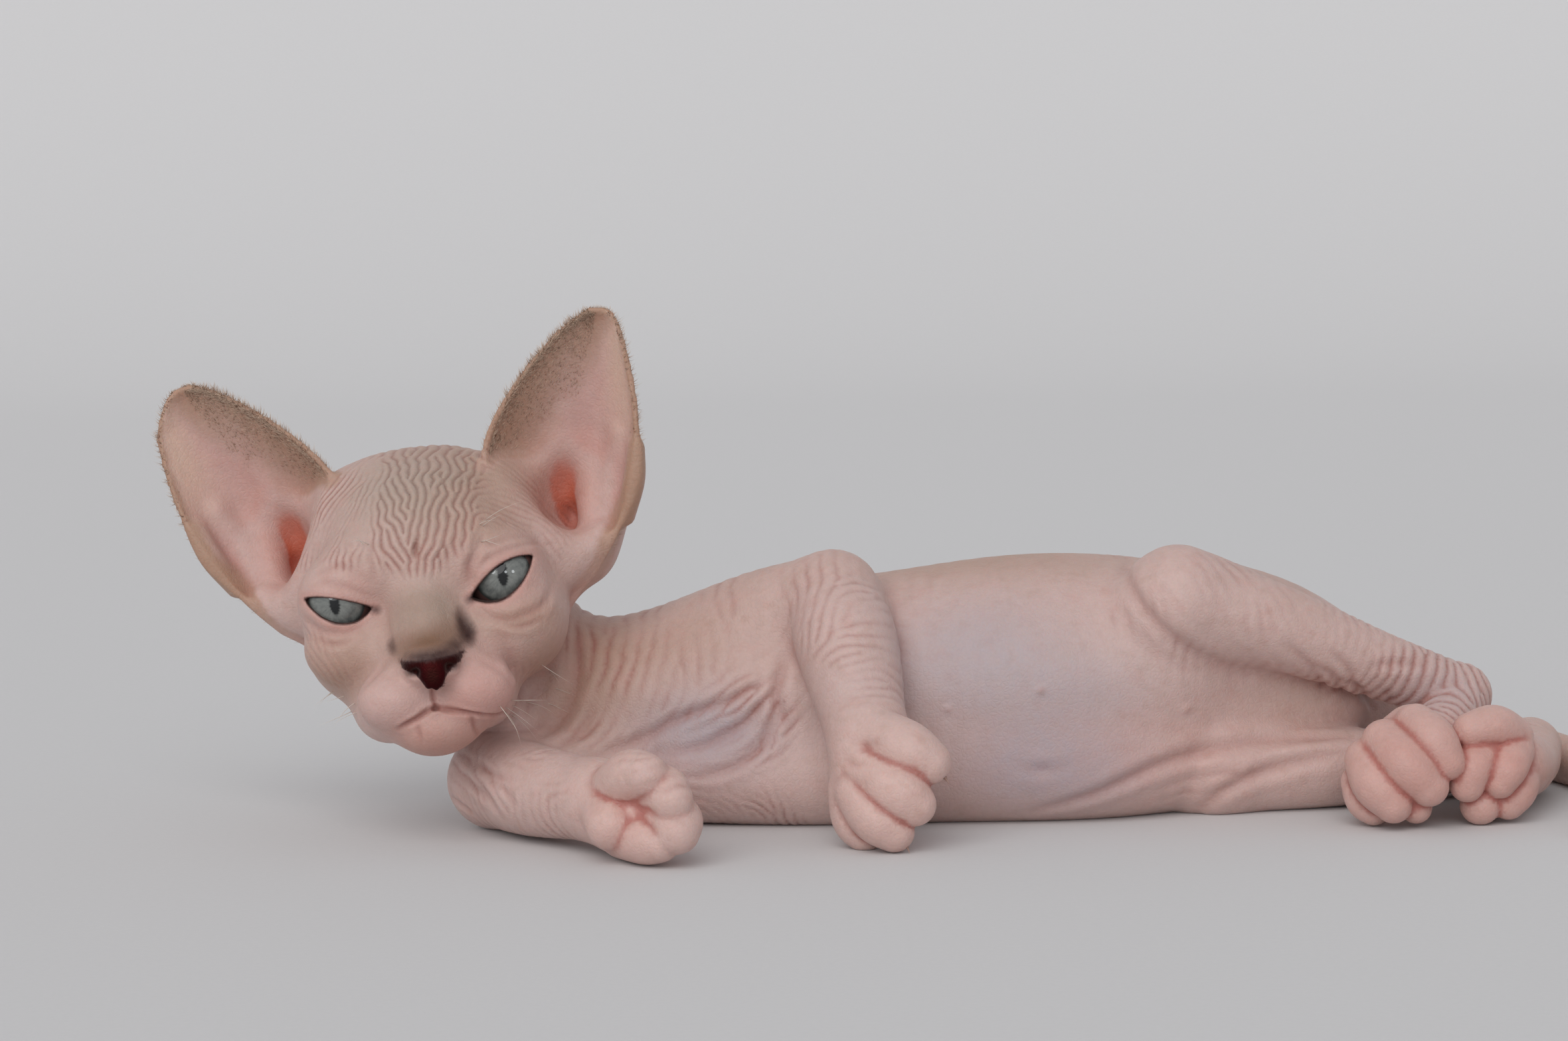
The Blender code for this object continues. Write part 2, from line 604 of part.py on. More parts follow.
def open_eye(head, side, cutters):
    """Cuts an eyeball's room and the slit between its lids, whose outer end is the higher."""
    turn = turned(FACE_TURN)
    middle = face_place(eye_place(side))
    room = ellipsoid_cutter(f"eye_room_{side}", middle, (EYE_RADIUS,) * 3, turn, GAP, cutters, fineness=3)
    combine(head, room, "DIFFERENCE")
    form = bmesh.new()
    steps = 9
    half = EYE_SLIT_LENGTH / 2
    upper = [(-half + 2 * half * k / steps, UPPER_LID_RISE * math.sin(math.pi * k / steps)) for k in range(steps)]
    lower = [(half - 2 * half * k / steps, -LOWER_LID_DROP * math.sin(math.pi * k / steps)) for k in range(steps)]
    slant = rotation("Y", -side * EYE_SLIT_SLANT)
    ring = []
    for x, z in upper + lower:
        point = eye_place(side) + slant @ (side * x, 0.5, z)
        ring.append(form.verts.new(Vector(face_place(point)) * MM))
    face = form.faces.new(ring)
    pushed = bmesh.ops.extrude_face_region(form, geom=[face])
    forward = Vector(turn @ (0, -16, 0)) * MM
    bmesh.ops.translate(form, verts=[v for v in pushed["geom"] if isinstance(v, bmesh.types.BMVert)], vec=forward)
    combine(head, cutter_from(form, f"eye_slit_{side}", cutters), "DIFFERENCE")


def tube_cutter(name, points, radius, cutters):
    """A thin tube through points in metres, for a groove."""
    curve = bpy.data.curves.new(name, "CURVE")
    curve.dimensions = "3D"
    curve.bevel_depth = radius * MM
    curve.bevel_resolution = 1
    curve.use_fill_caps = True
    spline = curve.splines.new("POLY")
    spline.points.add(len(points) - 1)
    for target, point in zip(spline.points, points):
        target.co = (*point, 1)
    guide = add_object(name, curve, cutters)
    graph = bpy.context.evaluated_depsgraph_get()
    mesh = bpy.data.meshes.new_from_object(guide.evaluated_get(graph))
    bpy.data.objects.remove(guide)
    form = bmesh.new()
    form.from_mesh(mesh)
    bmesh.ops.remove_doubles(form, verts=form.verts, dist=1e-6)
    return cutter_from(form, name, cutters)


def on_face(tree, x, z):
    """The point of the face's surface, in metres, that is seen at x and z from straight ahead."""
    ahead = Vector(face_place((x, -80, z))) * MM
    return tree.ray_cast(ahead, Vector(turned(FACE_TURN) @ (0, 1, 0)))[0]


def make_mouth(head, cutters):
    """The line of the mouth, and the cleft from it up to the nose."""
    mesh = head.data
    tree = BVHTree.FromPolygons([v.co for v in mesh.vertices], [p.vertices for p in mesh.polygons])
    lines = {
        "mouth_left": [(0.6, -26.2), (2.5, -27.6), (5, -28.4), (8, -28.9), (11, -29.6), (13.2, -31)],
        "mouth_right": [(0.6, -26.2), (-1.5, -27.6), (-4, -28.6), (-6.5, -29.4), (-9, -30.6), (-10.8, -32)],
        "cleft": [(0.7, -20.3), (0.7, -22), (0.6, -24), (0.6, -26.4)],
    }
    for name, line in lines.items():
        points = [on_face(tree, x, z) for x, z in line]
        combine(head, tube_cutter(name, points, MOUTH_GROOVE, cutters), "DIFFERENCE")


def make_nose(head, parts, cutters):
    """The nose leather with its two nostrils."""
    turn = turned(FACE_TURN)
    nose = take(head, "nose", lambda grow: ellipsoid_cutter(
        f"nose_cut_{grow}", face_place(NOSE_MIDDLE), NOSE_RADII, turn, grow, cutters, fineness=3), parts)
    for side in (-1, 1):
        place = face_place(np.array(NOSE_MIDDLE) + (side * NOSTRIL_OUT, -0.6, -0.6))
        hole = ellipsoid_cutter(
            f"nostril_{side}", place, NOSTRIL_RADII, turn @ rotation("Y", side * 25), 0, cutters)
        combine(nose, hole, "DIFFERENCE")
    nose.data = islands(nose)[0]


def make_ear(name, side, collection):
    """An ear as a curved sheet with a wall, on the kitten's left for side 1."""
    form = bmesh.new()
    bmesh.ops.create_grid(form, x_segments=EAR_STEPS_ACROSS, y_segments=EAR_STEPS_UP, size=1.0)
    for vert in form.verts:
        across = math.sin(vert.co.x * math.pi / 2)
        x, y, z = ear_surface(side, (vert.co.y + 1) / 2, across)
        vert.co = Vector(skull_place((side * x, y, z))) * MM
    ear = add_object(name, mesh_of(form, name), collection)
    wall = ear.modifiers.new("wall", "SOLIDIFY")
    wall.thickness = EAR_WALL * MM
    wall.offset = 0
    triangulate = ear.modifiers.new("triangles", "TRIANGULATE")
    triangulate.quad_method = "FIXED"
    settle(ear)
    form = bmesh.new()
    form.from_mesh(ear.data)
    ear.data = mesh_of(form, name)
    return ear


def fit_ear(ear, head, cutters):
    """Cuts off the ear's root where it is inside the head, with the gap between them."""
    room = add_object(f"{ear.name}_room", head.data.copy(), cutters)
    room.hide_render = True
    room.display_type = "WIRE"
    swell = room.modifiers.new("swell", "DISPLACE")
    swell.strength = GAP * MM
    swell.mid_level = 0
    settle(room)
    combine(ear, room, "DIFFERENCE")
    ear.data = islands(ear)[0]


def stand_over_origin(parts):
    """Moves every piece so that the middle of the whole is over the origin."""
    corners = np.array([v.co for obj in parts.objects for v in obj.data.vertices])
    middle = (corners.min(axis=0) + corners.max(axis=0)) / 2
    for obj in parts.objects:
        obj.data.transform(Matrix.Translation((-middle[0], -middle[1], 0)))


def main():
    """Builds every piece of the kitten."""
    for obj in list(bpy.data.objects):
        bpy.data.objects.remove(obj)
    parts = bpy.data.collections.new("sphynx_kitten")
    cutters = bpy.data.collections.new("cutters")
    for collection in (parts, cutters):
        bpy.context.scene.collection.children.link(collection)
    flesh = make_flesh(parts)
    thin_out(flesh)
    cut_floor(flesh, cutters)
    part_body(flesh, parts, cutters)
    head = parts.objects["head"]
    for side, word in ((1, "left"), (-1, "right")):
        ear = make_ear(f"ear_{word}", side, parts)
        fit_ear(ear, head, cutters)
        make_eye(f"eye_{word}", side, parts)
    make_mouth(head, cutters)
    make_nose(head, parts, cutters)
    for side in (-1, 1):
        open_eye(head, side, cutters)
    head.data = islands(head)[0]
    stand_over_origin(parts)
    for obj in parts.objects:
        if not obj.name.startswith("eye"):
            colour = EAR_SKIN if "ear_" in obj.name else PAW_SKIN if "paw" in obj.name else SKIN
            finish(obj, NOSE_SKIN if obj.name == "nose" else colour)


if __name__ == "__main__":
    main()
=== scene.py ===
"""Looks of a sphynx kitten that lies on its right side with its head raised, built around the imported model.

Flesh and bones are laid out in millimetres in the model's own frame: X from head to tail, -Y the side that
the belly and the face point to, +Z up. Finished meshes are in metres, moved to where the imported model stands.
"""
from __future__ import annotations

import json
import logging
import math
from dataclasses import dataclass, field
from enum import Enum
from functools import partial
from typing import Iterable, Sequence

import bmesh
import bpy
import numpy as np
import openvdb
from mathutils import Matrix, Vector
from mathutils.bvhtree import BVHTree
from mathutils.kdtree import KDTree

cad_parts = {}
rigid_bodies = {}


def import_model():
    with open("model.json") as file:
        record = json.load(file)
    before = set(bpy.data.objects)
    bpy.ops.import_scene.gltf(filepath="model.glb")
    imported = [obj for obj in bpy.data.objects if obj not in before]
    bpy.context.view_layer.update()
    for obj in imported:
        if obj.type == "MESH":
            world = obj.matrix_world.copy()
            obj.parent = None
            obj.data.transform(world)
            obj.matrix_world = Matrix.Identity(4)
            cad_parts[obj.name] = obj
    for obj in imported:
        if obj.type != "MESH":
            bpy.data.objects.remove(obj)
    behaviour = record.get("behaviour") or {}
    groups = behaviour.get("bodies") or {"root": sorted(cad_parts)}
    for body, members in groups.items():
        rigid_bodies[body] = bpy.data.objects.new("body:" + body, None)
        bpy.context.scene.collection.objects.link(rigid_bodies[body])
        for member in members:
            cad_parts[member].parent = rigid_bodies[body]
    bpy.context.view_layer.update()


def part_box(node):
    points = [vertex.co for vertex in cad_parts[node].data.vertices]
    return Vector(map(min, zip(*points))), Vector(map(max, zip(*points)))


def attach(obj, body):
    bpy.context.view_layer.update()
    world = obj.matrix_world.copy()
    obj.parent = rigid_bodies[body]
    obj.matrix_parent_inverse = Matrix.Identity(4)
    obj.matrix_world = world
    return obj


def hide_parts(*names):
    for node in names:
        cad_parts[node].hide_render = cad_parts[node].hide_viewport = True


log = logging.getLogger("kitten")

Colour = tuple[float, float, float]
Point = tuple[float, float, float]

MM = 0.001
SEED = 11

# The grid that the flesh is blended on: its corner, how many points it has and how far apart they first are.
# The head's own grid ends at its own X, and far stands for a distance with nothing near.
GRID_LOW = (-151.0, -84.0, -8.6)
GRID_COUNTS = (287, 112, 108)
COARSE_STEP = 1.25
HEAD_END = -28.0
FAR = 40.0

# What rests on the floor stands this little above it, and counts as flat up to the second height.
FLOOR = 0.02
FLAT = 0.05

SHOULDER_LEFT = (-24.0, 3.0, 33.0)
ELBOW_LEFT = (11.0, -14.0, 52.0)
WRIST_LEFT = (18.0, -45.0, 24.0)
SHOULDER_RIGHT = (-30.0, -4.0, 15.0)
ELBOW_RIGHT = (-68.0, -18.0, 11.5)
WRIST_RIGHT = (-43.0, -50.0, 11.5)
HIP_LEFT = (138.0, 26.0, 22.0)
KNEE_LEFT = (91.0, -20.0, 51.0)
HOCK_LEFT = (159.0, -4.0, 25.0)
HIP_RIGHT = (134.0, 26.0, 13.0)
KNEE_RIGHT = (101.0, -12.0, 10.0)
HOCK_RIGHT = (177.0, 4.0, 10.5)
NECK_TOP = (-62.0, 2.0, 42.0)
NECK_FILLET = 7.0
NECK_REACH = 24.0

EYE_OUT = 18.6
EYE_FORWARD = 0.2
EYE_RADIUS = 8.9
LID_DEPTH = 1.2

RIGHT_EAR_FLARE = 3.2
EAR_WALL = 1.5
EAR_STEPS = (44, 56)

# How far from an ear's sheet its colours still reach, and where in the skull's frame its skin can be.
EAR_REACH_AHEAD = 3.2
EAR_REACH_BEHIND = 9.0
EAR_CORNER = (16.0, 6.0, -12.0)

TRIANGLE_LIMIT = 196_000

# How large a hair's patch of the bake map is, and the share by which each hair's tone steps on.
BAKE_PATCH = 0.003
GOLDEN = 0.618034


class Side(Enum):
    """The kitten's own sides."""

    LEFT = 1
    RIGHT = -1


def rotation(axis: str, degrees: float) -> np.ndarray:
    """A rotation matrix about a coordinate axis."""
    return np.array(Matrix.Rotation(math.radians(degrees), 3, axis))


def unit(vectors: np.ndarray) -> np.ndarray:
    """The vectors at length one."""
    length = np.linalg.norm(vectors, axis=-1, keepdims=True)
    return vectors / np.maximum(length, 1e-9)


def smooth_path(stations: Sequence[Sequence[float]], steps: int = 6) -> np.ndarray:
    """The stations with points between them on a Catmull-Rom curve.

    Args:
        stations: Rows of numbers that are all carried along the curve.
        steps: How many points each stretch gets.

    Returns:
        The rows along the curve.
    """
    given = np.array(stations, float)
    padded = np.vstack([2 * given[0] - given[1], given, 2 * given[-1] - given[-2]])
    made = []
    for a, b, c, d in zip(padded, padded[1:], padded[2:], padded[3:]):
        for t in np.arange(steps) / steps:
            line = 2 * b + (c - a) * t
            bend = (2 * a - 5 * b + 4 * c - d) * t**2 + (3 * b - a - 3 * c + d) * t**3
            made.append((line + bend) / 2)
    return np.array([*made, given[-1]])


def ramp(values: np.ndarray, low: float, high: float) -> np.ndarray:
    """A smooth step from 0 at low to 1 at high, which also runs downwards where low is the larger."""
    share = np.clip((values - low) / (high - low), 0, 1)
    return share * share * (3 - 2 * share)


@dataclass(frozen=True)
class Place:
    """A frame in the model: X to the kitten's left, -Y ahead of its face and Z to its crown."""

    middle: Point
    degrees: Point

    @property
    def turn(self) -> np.ndarray:
        """The rotation by yaw, roll and pitch."""
        yaw, roll, pitch = self.degrees
        return rotation("Z", yaw) @ rotation("Y", roll) @ rotation("X", pitch)

    def out(self, points: Sequence[float] | np.ndarray) -> np.ndarray:
        """Points of this frame in the model's frame."""
        return np.asarray(points, float) @ self.turn.T + self.middle

    def into(self, points: np.ndarray) -> np.ndarray:
        """Points of the model's frame in this frame."""
        return (np.asarray(points, float) - self.middle) @ self.turn


MODEL = Place((0.0, 0.0, 0.0), (0.0, 0.0, 0.0))
SKULL = Place((-83.3, -29.0, 55.5), (-6.0, -10.0, -4.0))
FACE = Place((-83.5, -29.0, 58.1), (3.0, -7.5, -2.0))


def eye_place(side: Side) -> np.ndarray:
    """The middle of an eyeball in the face's frame."""
    return np.array((side.value * EYE_OUT, EYE_FORWARD, 0.0))


@dataclass
class Flesh:
    """A soft solid, held as distances from its surface on a grid of points. Inside they are negative."""

    step: float
    counts: tuple[int, ...]
    low: np.ndarray = field(default_factory=lambda: np.array(GRID_LOW))

    def __post_init__(self) -> None:
        """Starts with nothing in it."""
        self.distance = np.full(self.counts, FAR, np.float32)

    def window(self, low: np.ndarray, high: np.ndarray) -> tuple[tuple[slice, ...], np.ndarray]:
        """Finds the part of the grid that a box takes up.

        Args:
            low: The box's least corner.
            high: Its greatest corner.

        Returns:
            The slices of the grid, and the places of its points there.
        """
        first = np.maximum(np.floor((low - self.low) / self.step).astype(int), 0)
        last = np.minimum(np.ceil((high - self.low) / self.step).astype(int) + 1, self.counts)
        last = np.maximum(last, first)
        axes = [self.low[k] + self.step * np.arange(first[k], last[k]) for k in range(3)]
        points = np.stack(np.meshgrid(*axes, indexing="ij"), -1).astype(np.float32)
        return tuple(slice(a, b) for a, b in zip(first, last)), points

    def blend(self, region: tuple[slice, ...], distance: np.ndarray, softness: np.ndarray | float) -> None:
        """Joins a form on, with a fillet where it meets what is there.

        Args:
            region: The slices of the grid that it fills.
            distance: The distances from it there.
            softness: How far the fillet reaches.
        """
        there = self.distance[region]
        near = np.maximum(softness - np.abs(there - distance), 0)
        self.distance[region] = np.minimum(there, distance) - near**2 / (4 * softness)

    def carve(self, region: tuple[slice, ...], distance: np.ndarray, softness: float) -> None:
        """Takes a form away, with a rounded edge.

        Args:
            region: The slices of the grid that it fills.
            distance: The distances from it there.
            softness: How far the rounding reaches.
        """
        there = self.distance[region]
        near = np.maximum(softness - np.abs(there + distance), 0)
        self.distance[region] = np.maximum(there, -distance) + near**2 / (4 * softness)

    def ellipsoid(
        self,
        centre: Sequence[float],
        radii: Sequence[float],
        softness: float,
        turn: np.ndarray = np.eye(3),
        carve: bool = False,
        frame: Place = MODEL,
    ) -> None:
        """Joins on an ellipsoid, or takes it away.

        Args:
            centre: Its middle.
            radii: Its three radii.
            softness: How large the fillet round it is.
            turn: The directions of its axes, as columns.
            carve: Whether it is taken away.
            frame: The frame of its middle and its axes.
        """
        middle = frame.out(centre)
        reach = max(radii) + softness + 2 * self.step
        region, points = self.window(middle - reach, middle + reach)
        if not points.size:
            return
        size = np.array(radii, np.float32)
        local = (points - middle.astype(np.float32)) @ (frame.turn @ turn).astype(np.float32) / size
        scaled = np.maximum(np.linalg.norm(local, axis=-1), 1e-3)
        slope = np.maximum(np.linalg.norm(local / size, axis=-1), 1e-3 / max(radii))
        distance = scaled * (scaled - 1) / slope
        (self.carve if carve else self.blend)(region, distance, softness)

    def limb(self, stations: Sequence[Sequence[float]]) -> None:
        """Joins on a tube with round ends.

        Args:
            stations: Rows of x, y, z, half width, half height and softness.
        """
        path = smooth_path(stations)
        spread = path[:, 3:5].max() + path[:, 5].max() + 2 * self.step
        region, points = self.window(path[:, :3].min(0) - spread, path[:, :3].max(0) + spread)
        axes = points[:, 0, 0, 0], points[0, :, 0, 1], points[0, 0, :, 2]
        distance = np.full(points.shape[:3], FAR, np.float32)
        softness = np.ones(points.shape[:3], np.float32)
        for start, end in zip(path, path[1:]):
            low = np.minimum(start[:3], end[:3]) - spread
            high = np.maximum(start[:3], end[:3]) + spread
            part = tuple(slice(*np.searchsorted(axis, ends)) for axis, ends in zip(axes, zip(low, high)))
            made, soft = self.tube(points[part], start, end)
            nearer = made < distance[part]
            softness[part] = np.where(nearer, soft, softness[part])
            distance[part] = np.where(nearer, made, distance[part])
        self.blend(region, distance, softness)

    @staticmethod
    def tube(points: np.ndarray, start: np.ndarray, end: np.ndarray) -> tuple[np.ndarray, np.ndarray]:
        """Measures from a straight stretch of tube.

        Args:
            points: Places in the model's frame.
            start: The station that it starts at.
            end: The one that it ends at.

        Returns:
            The distance of each place, and the softness there.
        """
        along = end[:3] - start[:3]
        side = unit(np.cross(along, (0, 0, 1)))
        up = np.cross(side, unit(along))
        here = points - start[:3].astype(np.float32)
        share = np.clip(here @ along / (along @ along), 0, 1)[..., None]
        offset = here - share * along
        wide, tall, soft = np.moveaxis(start[3:6] + share * (end - start)[3:6], -1, 0)
        length = np.linalg.norm(offset, axis=-1)
        aside, above = offset @ side, offset @ up
        beyond = length**2 - aside**2 - above**2
        ratio = (aside / wide) ** 2 + (above / tall) ** 2 + beyond / (wide * tall)
        made = length - length / np.sqrt(np.maximum(ratio, 1e-6))
        return np.where(length < 0.5, -tall, made), soft

    def join(self, other: Flesh, centre: Sequence[float], reach: float, softness: float) -> None:
        """Joins on another soft solid that starts at the same corner.

        Args:
            other: The other solid.
            centre: The place round which they get a fillet.
            reach: How far from there it goes.
            softness: How far the fillet reaches.
        """
        region, points = self.window(other.low, other.low + other.step * (np.array(other.counts) - 1.5))
        away = np.linalg.norm(points - np.array(centre, np.float32), axis=-1) / reach
        inner = tuple(slice(0, s.stop - s.start) for s in region)
        self.blend(region, other.distance[inner], 0.05 + softness * np.exp(-(away**4)))

    def refined(self) -> Flesh:
        """Makes the same solid on a grid of half the step.

        Returns:
            The finer solid.
        """
        fine = Flesh(self.step / 2, tuple(2 * n - 1 for n in self.counts), self.low)
        values = self.distance
        for axis in range(3):
            values = np.moveaxis(values, axis, 0)
            wide = np.empty((2 * values.shape[0] - 1, *values.shape[1:]), np.float32)
            wide[::2] = values
            wide[1::2] = (values[1:] + values[:-1]) / 2
            values = np.moveaxis(wide, 0, axis)
        fine.distance = np.ascontiguousarray(values)
        return fine

    def surface(self) -> tuple[np.ndarray, np.ndarray, np.ndarray]:
        """Meshes the surface.

        Returns:
            Its corners, its triangles and its quads.
        """
        grid = openvdb.FloatGrid(FAR)
        grid.copyFromArray(self.distance)
        points, triangles, quads = grid.convertToPolygons(0.0, 0.0)
        return points * self.step + self.low, triangles, quads


@dataclass(frozen=True)
class Almond:
    """The opening between the lids of an eye, in the face's frame: X along it, outer end the higher."""

    side: Side
    length: float
    slant: float
    rise: float
    drop: float
    shift: tuple[float, float]

    def local(self, points: np.ndarray) -> np.ndarray:
        """Looks along the opening, from its middle.

        Args:
            points: Places in the face's frame.

        Returns:
            The same places in the opening's frame.
        """
        side = self.side.value
        spin = rotation("Y", -side * self.slant)
        away = np.asarray(points) - eye_place(self.side)
        made = away @ spin
        return np.stack([made[..., 0] * side - self.shift[0], made[..., 1], made[..., 2] - self.shift[1]], -1)

    def distance(self, local: np.ndarray) -> np.ndarray:
        """Measures from the opening's edge, looking straight at it.

        Args:
            local: Places in the opening's frame.

        Returns:
            How far outside it each place is, negative inside.
        """
        x, z = local[..., 0], local[..., 2]
        half = self.length / 2
        along = np.clip(x / half, -1, 1)
        upper = self.rise * (1 - along**2) ** 0.8 * (1 + 0.25 * along)
        lower = -self.drop * (1 - along**2) ** 0.8 * (1 - 0.18 * along)
        inside = np.maximum(z - upper, lower - z) * 0.85
        return np.maximum(inside, np.abs(x) - half)


ALMONDS = (
    Almond(Side.LEFT, 16.4, 25.0, 2.5, 4.1, (0.2, 0.1)),
    Almond(Side.RIGHT, 15.2, 16.0, 1.1, 4.2, (0.2, -0.2)),
)


@dataclass
class Ear:
    """One ear: a sheet that sags back between its two edges as a cup, in the skull's frame."""

    side: Side
    shares: tuple[float, ...] = (0.0, 0.12, 0.26, 0.42, 0.62, 0.82, 0.94, 1.0)
    inner: tuple[Point, ...] = (
        (17, 12, 22), (17.3, 12, 28), (19.5, 12, 34), (24.5, 12, 41), (32.5, 12.5, 49), (41.2, 13.5, 55.6),
        (46.0, 14, 58.0), (48.8, 14, 58.8),
    )
    outer: tuple[Point, ...] = (
        (28, 17, -9), (37.5, 15, -1), (46.2, 14, 9), (52, 13.2, 19.5), (54.8, 13, 34), (54.8, 13.5, 48),
        (53.7, 14, 55.6), (51.2, 14, 58.4),
    )

    def edges(self, share: np.ndarray) -> tuple[np.ndarray, np.ndarray]:
        """Finds both edges of the sheet.

        Args:
            share: Shares of the ear's height.

        Returns:
            Where the inner and the outer edge stand.
        """
        made = []
        for edge in (self.inner, self.outer):
            table = smooth_path([(s, *p) for s, p in zip(self.shares, edge)], 4)
            made.append(np.stack([np.interp(share, table[:, 0], table[:, k]) for k in (1, 2, 3)], -1))
        if self.side is Side.RIGHT:
            made[1][..., 0] += RIGHT_EAR_FLARE * np.interp(share, (0.3, 0.62, 0.82, 1), (0, 0.6, 1, 0))
        return made[0], made[1]

    def sheet(self, share: np.ndarray, across: np.ndarray) -> np.ndarray:
        """Finds places on the sheet.

        Args:
            share: Shares of the ear's height.
            across: How far across, from -1 at the inner edge to 1 at the outer.

        Returns:
            The places in the model's frame.
        """
        inner, outer = self.edges(share)
        depth = np.interp(share, (0, 0.3, 0.6, 0.85, 1), (15, 14.5, 8.6, 3.4, 0.4))
        bend = np.interp(share, (0, 0.25, 0.55, 1), (0.5, 0.62, 0.95, 1.0))
        sag = np.maximum(0.0, 1 - across**2) ** bend
        point = inner + (outer - inner) * ((across + 1) / 2)[..., None]
        point = point + np.array((0.25, 0.95, 0.1)) * (depth * sag)[..., None]
        return SKULL.out(point * (self.side.value, 1, 1))

    def grid(self) -> tuple[np.ndarray, np.ndarray, np.ndarray]:
        """Lays points over the sheet, in rows across and columns up.

        Returns:
            The points, their shares and how far across they are.
        """
        share = 1 - np.linspace(1, 0, EAR_STEPS[1]) ** 1.25
        across = np.sin(np.linspace(-1, 1, EAR_STEPS[0]) * np.pi / 2)
        shares, acrosses = np.meshgrid(share, across, indexing="ij")
        return self.sheet(shares, acrosses), shares, acrosses

    def closed(self) -> tuple[np.ndarray, np.ndarray]:
        """Closes the sheet to a wall that thins towards its rim.

        Returns:
            Its corners and its quads.
        """
        points, shares, acrosses = self.grid()
        rows, columns = points.shape[:2]
        normal = unit(np.cross(np.gradient(points, axis=0), np.gradient(points, axis=1)))
        rim = np.minimum(1 - np.abs(acrosses), (1 - shares) * 1.6)
        wall = EAR_WALL * (0.86 + 0.14 * ramp(rim, 0.0, 0.25))[..., None] / 2
        front, back = points + normal * wall, points - normal * wall
        corners = np.concatenate([front.reshape(-1, 3), back.reshape(-1, 3)])
        index = np.arange(rows * columns).reshape(rows, columns)
        flat = np.stack([index[:-1, :-1], index[1:, :-1], index[1:, 1:], index[:-1, 1:]], -1).reshape(-1, 4)
        ring = np.concatenate([index[0, :-1], index[:-1, -1], index[-1, :0:-1], index[:0:-1, 0]])
        after = np.roll(ring, -1)
        other = rows * columns
        sides = np.stack([ring, ring + other, after + other, after], -1)
        return corners, np.concatenate([flat[:, ::-1], flat + other, sides[:, ::-1]])

    def add_to(self, head: Flesh) -> None:
        """Blends the ear onto the head.

        Args:
            head: The head's flesh.
        """
        corners, quads = self.closed()
        index_space = ((corners - head.low) / head.step).astype(np.float32)
        grid = openvdb.FloatGrid.createLevelSetFromPolygons(
            index_space, quads=quads.astype(np.uint32), halfWidth=7.0)
        distance = np.empty(head.counts, np.float32)
        grid.copyToArray(distance)
        everything = tuple(slice(0, n) for n in head.counts)
        head.blend(everything, distance * head.step, 2.6)
        self.add_folds(head)

    def add_folds(self, head: Flesh) -> None:
        """Shapes the canal, the folds round it and the pocket on the outer edge.

        Args:
            head: The head's flesh.
        """
        side = self.side.value

        def row(x: float, y: float, z: float, radius: float, soft: float) -> tuple[float, ...]:
            """A station of a fold, placed in the skull's frame on the ear's side."""
            return (*SKULL.out((side * x, y, z)), radius, radius, soft)

        head.limb([row(29, 25.4, 23, 2.2, 5), row(33, 25.8, 30, 1.6, 5), row(36.5, 23.6, 37, 0.8, 5)])
        head.limb([
            row(38, 22, 4, 2.8, 5), row(43.5, 23.2, 12, 2.4, 5), row(47, 22.4, 21, 1.6, 5),
            row(49, 20.6, 29, 0.9, 5),
        ])
        head.limb([row(47.5, 17.5, 10, 1.8, 3), row(51.0, 15.6, 18, 2.4, 3), row(53, 15.2, 25, 1.6, 3)])
        head.limb([row(32, 15, 1, 2.8, 4), row(37, 14.5, 4, 2.6, 4), row(40.5, 16, 7, 1.8, 4)])
        put = partial(head.ellipsoid, frame=SKULL)
        put((side * 33, 28, 14), (11, 8, 16), 9)
        put((side * 32.8, 20, 17.5), (4.6, 6.0, 8.4), 7, rotation("Y", side * 12), True)
        put((side * 33.2, 23, 12.5), (2.6, 5, 3.4), 3, carve=True)
        head.limb([row(38.6, 22.6, 9, 2.4, 4), row(38.4, 23.4, 15, 2.2, 4), row(40.5, 26, 21, 1.6, 4)])


EARS = (Ear(Side.LEFT), Ear(Side.RIGHT))


@dataclass(frozen=True)
class View:
    """The camera of the photograph, and the frame of 2000 points across in which its places are read."""

    aim: Point = (0.0, -35.0, 72.7)
    above: float = 6.0
    away: float = 950.0
    roll: float = -1.1
    focal: float = 5320.0
    middle: tuple[float, float] = (1000.0, 664.0)
    sensor: float = 36.0

    @property
    def back(self) -> np.ndarray:
        """The direction from what the camera looks at to the camera."""
        angle = math.radians(self.above)
        return np.array((0, -math.cos(angle), math.sin(angle)))

    @property
    def matrix(self) -> Matrix:
        """Finds the camera's place and turn.

        Returns:
            Its matrix, in millimetres.
        """
        look = Vector(-self.back).to_track_quat("-Z", "Y").to_matrix().to_4x4()
        roll = Matrix.Rotation(math.radians(self.roll), 4, "Z")
        return Matrix.Translation(Vector(self.aim) + Vector(self.back) * self.away) @ look @ roll

    @property
    def lens(self) -> float:
        """The focal length in millimetres."""
        return self.focal / 2000 * self.sensor

    def ray(self, across: float, down: float) -> tuple[Vector, Vector]:
        """Follows the line through a point of the frame.

        Args:
            across: The point's column.
            down: Its row.

        Returns:
            Where the line starts and which way it goes.
        """
        local = Vector((across - self.middle[0], self.middle[1] - down, -self.focal))
        matrix = self.matrix
        return matrix.translation, (matrix.to_3x3() @ local).normalized()

    def spot(self, across: float, down: float, depth: float) -> np.ndarray:
        """The place behind a point of the frame where the model's Y is the depth."""
        start, along = self.ray(across, down)
        return np.array(start + along * ((depth - start.y) / along.y))


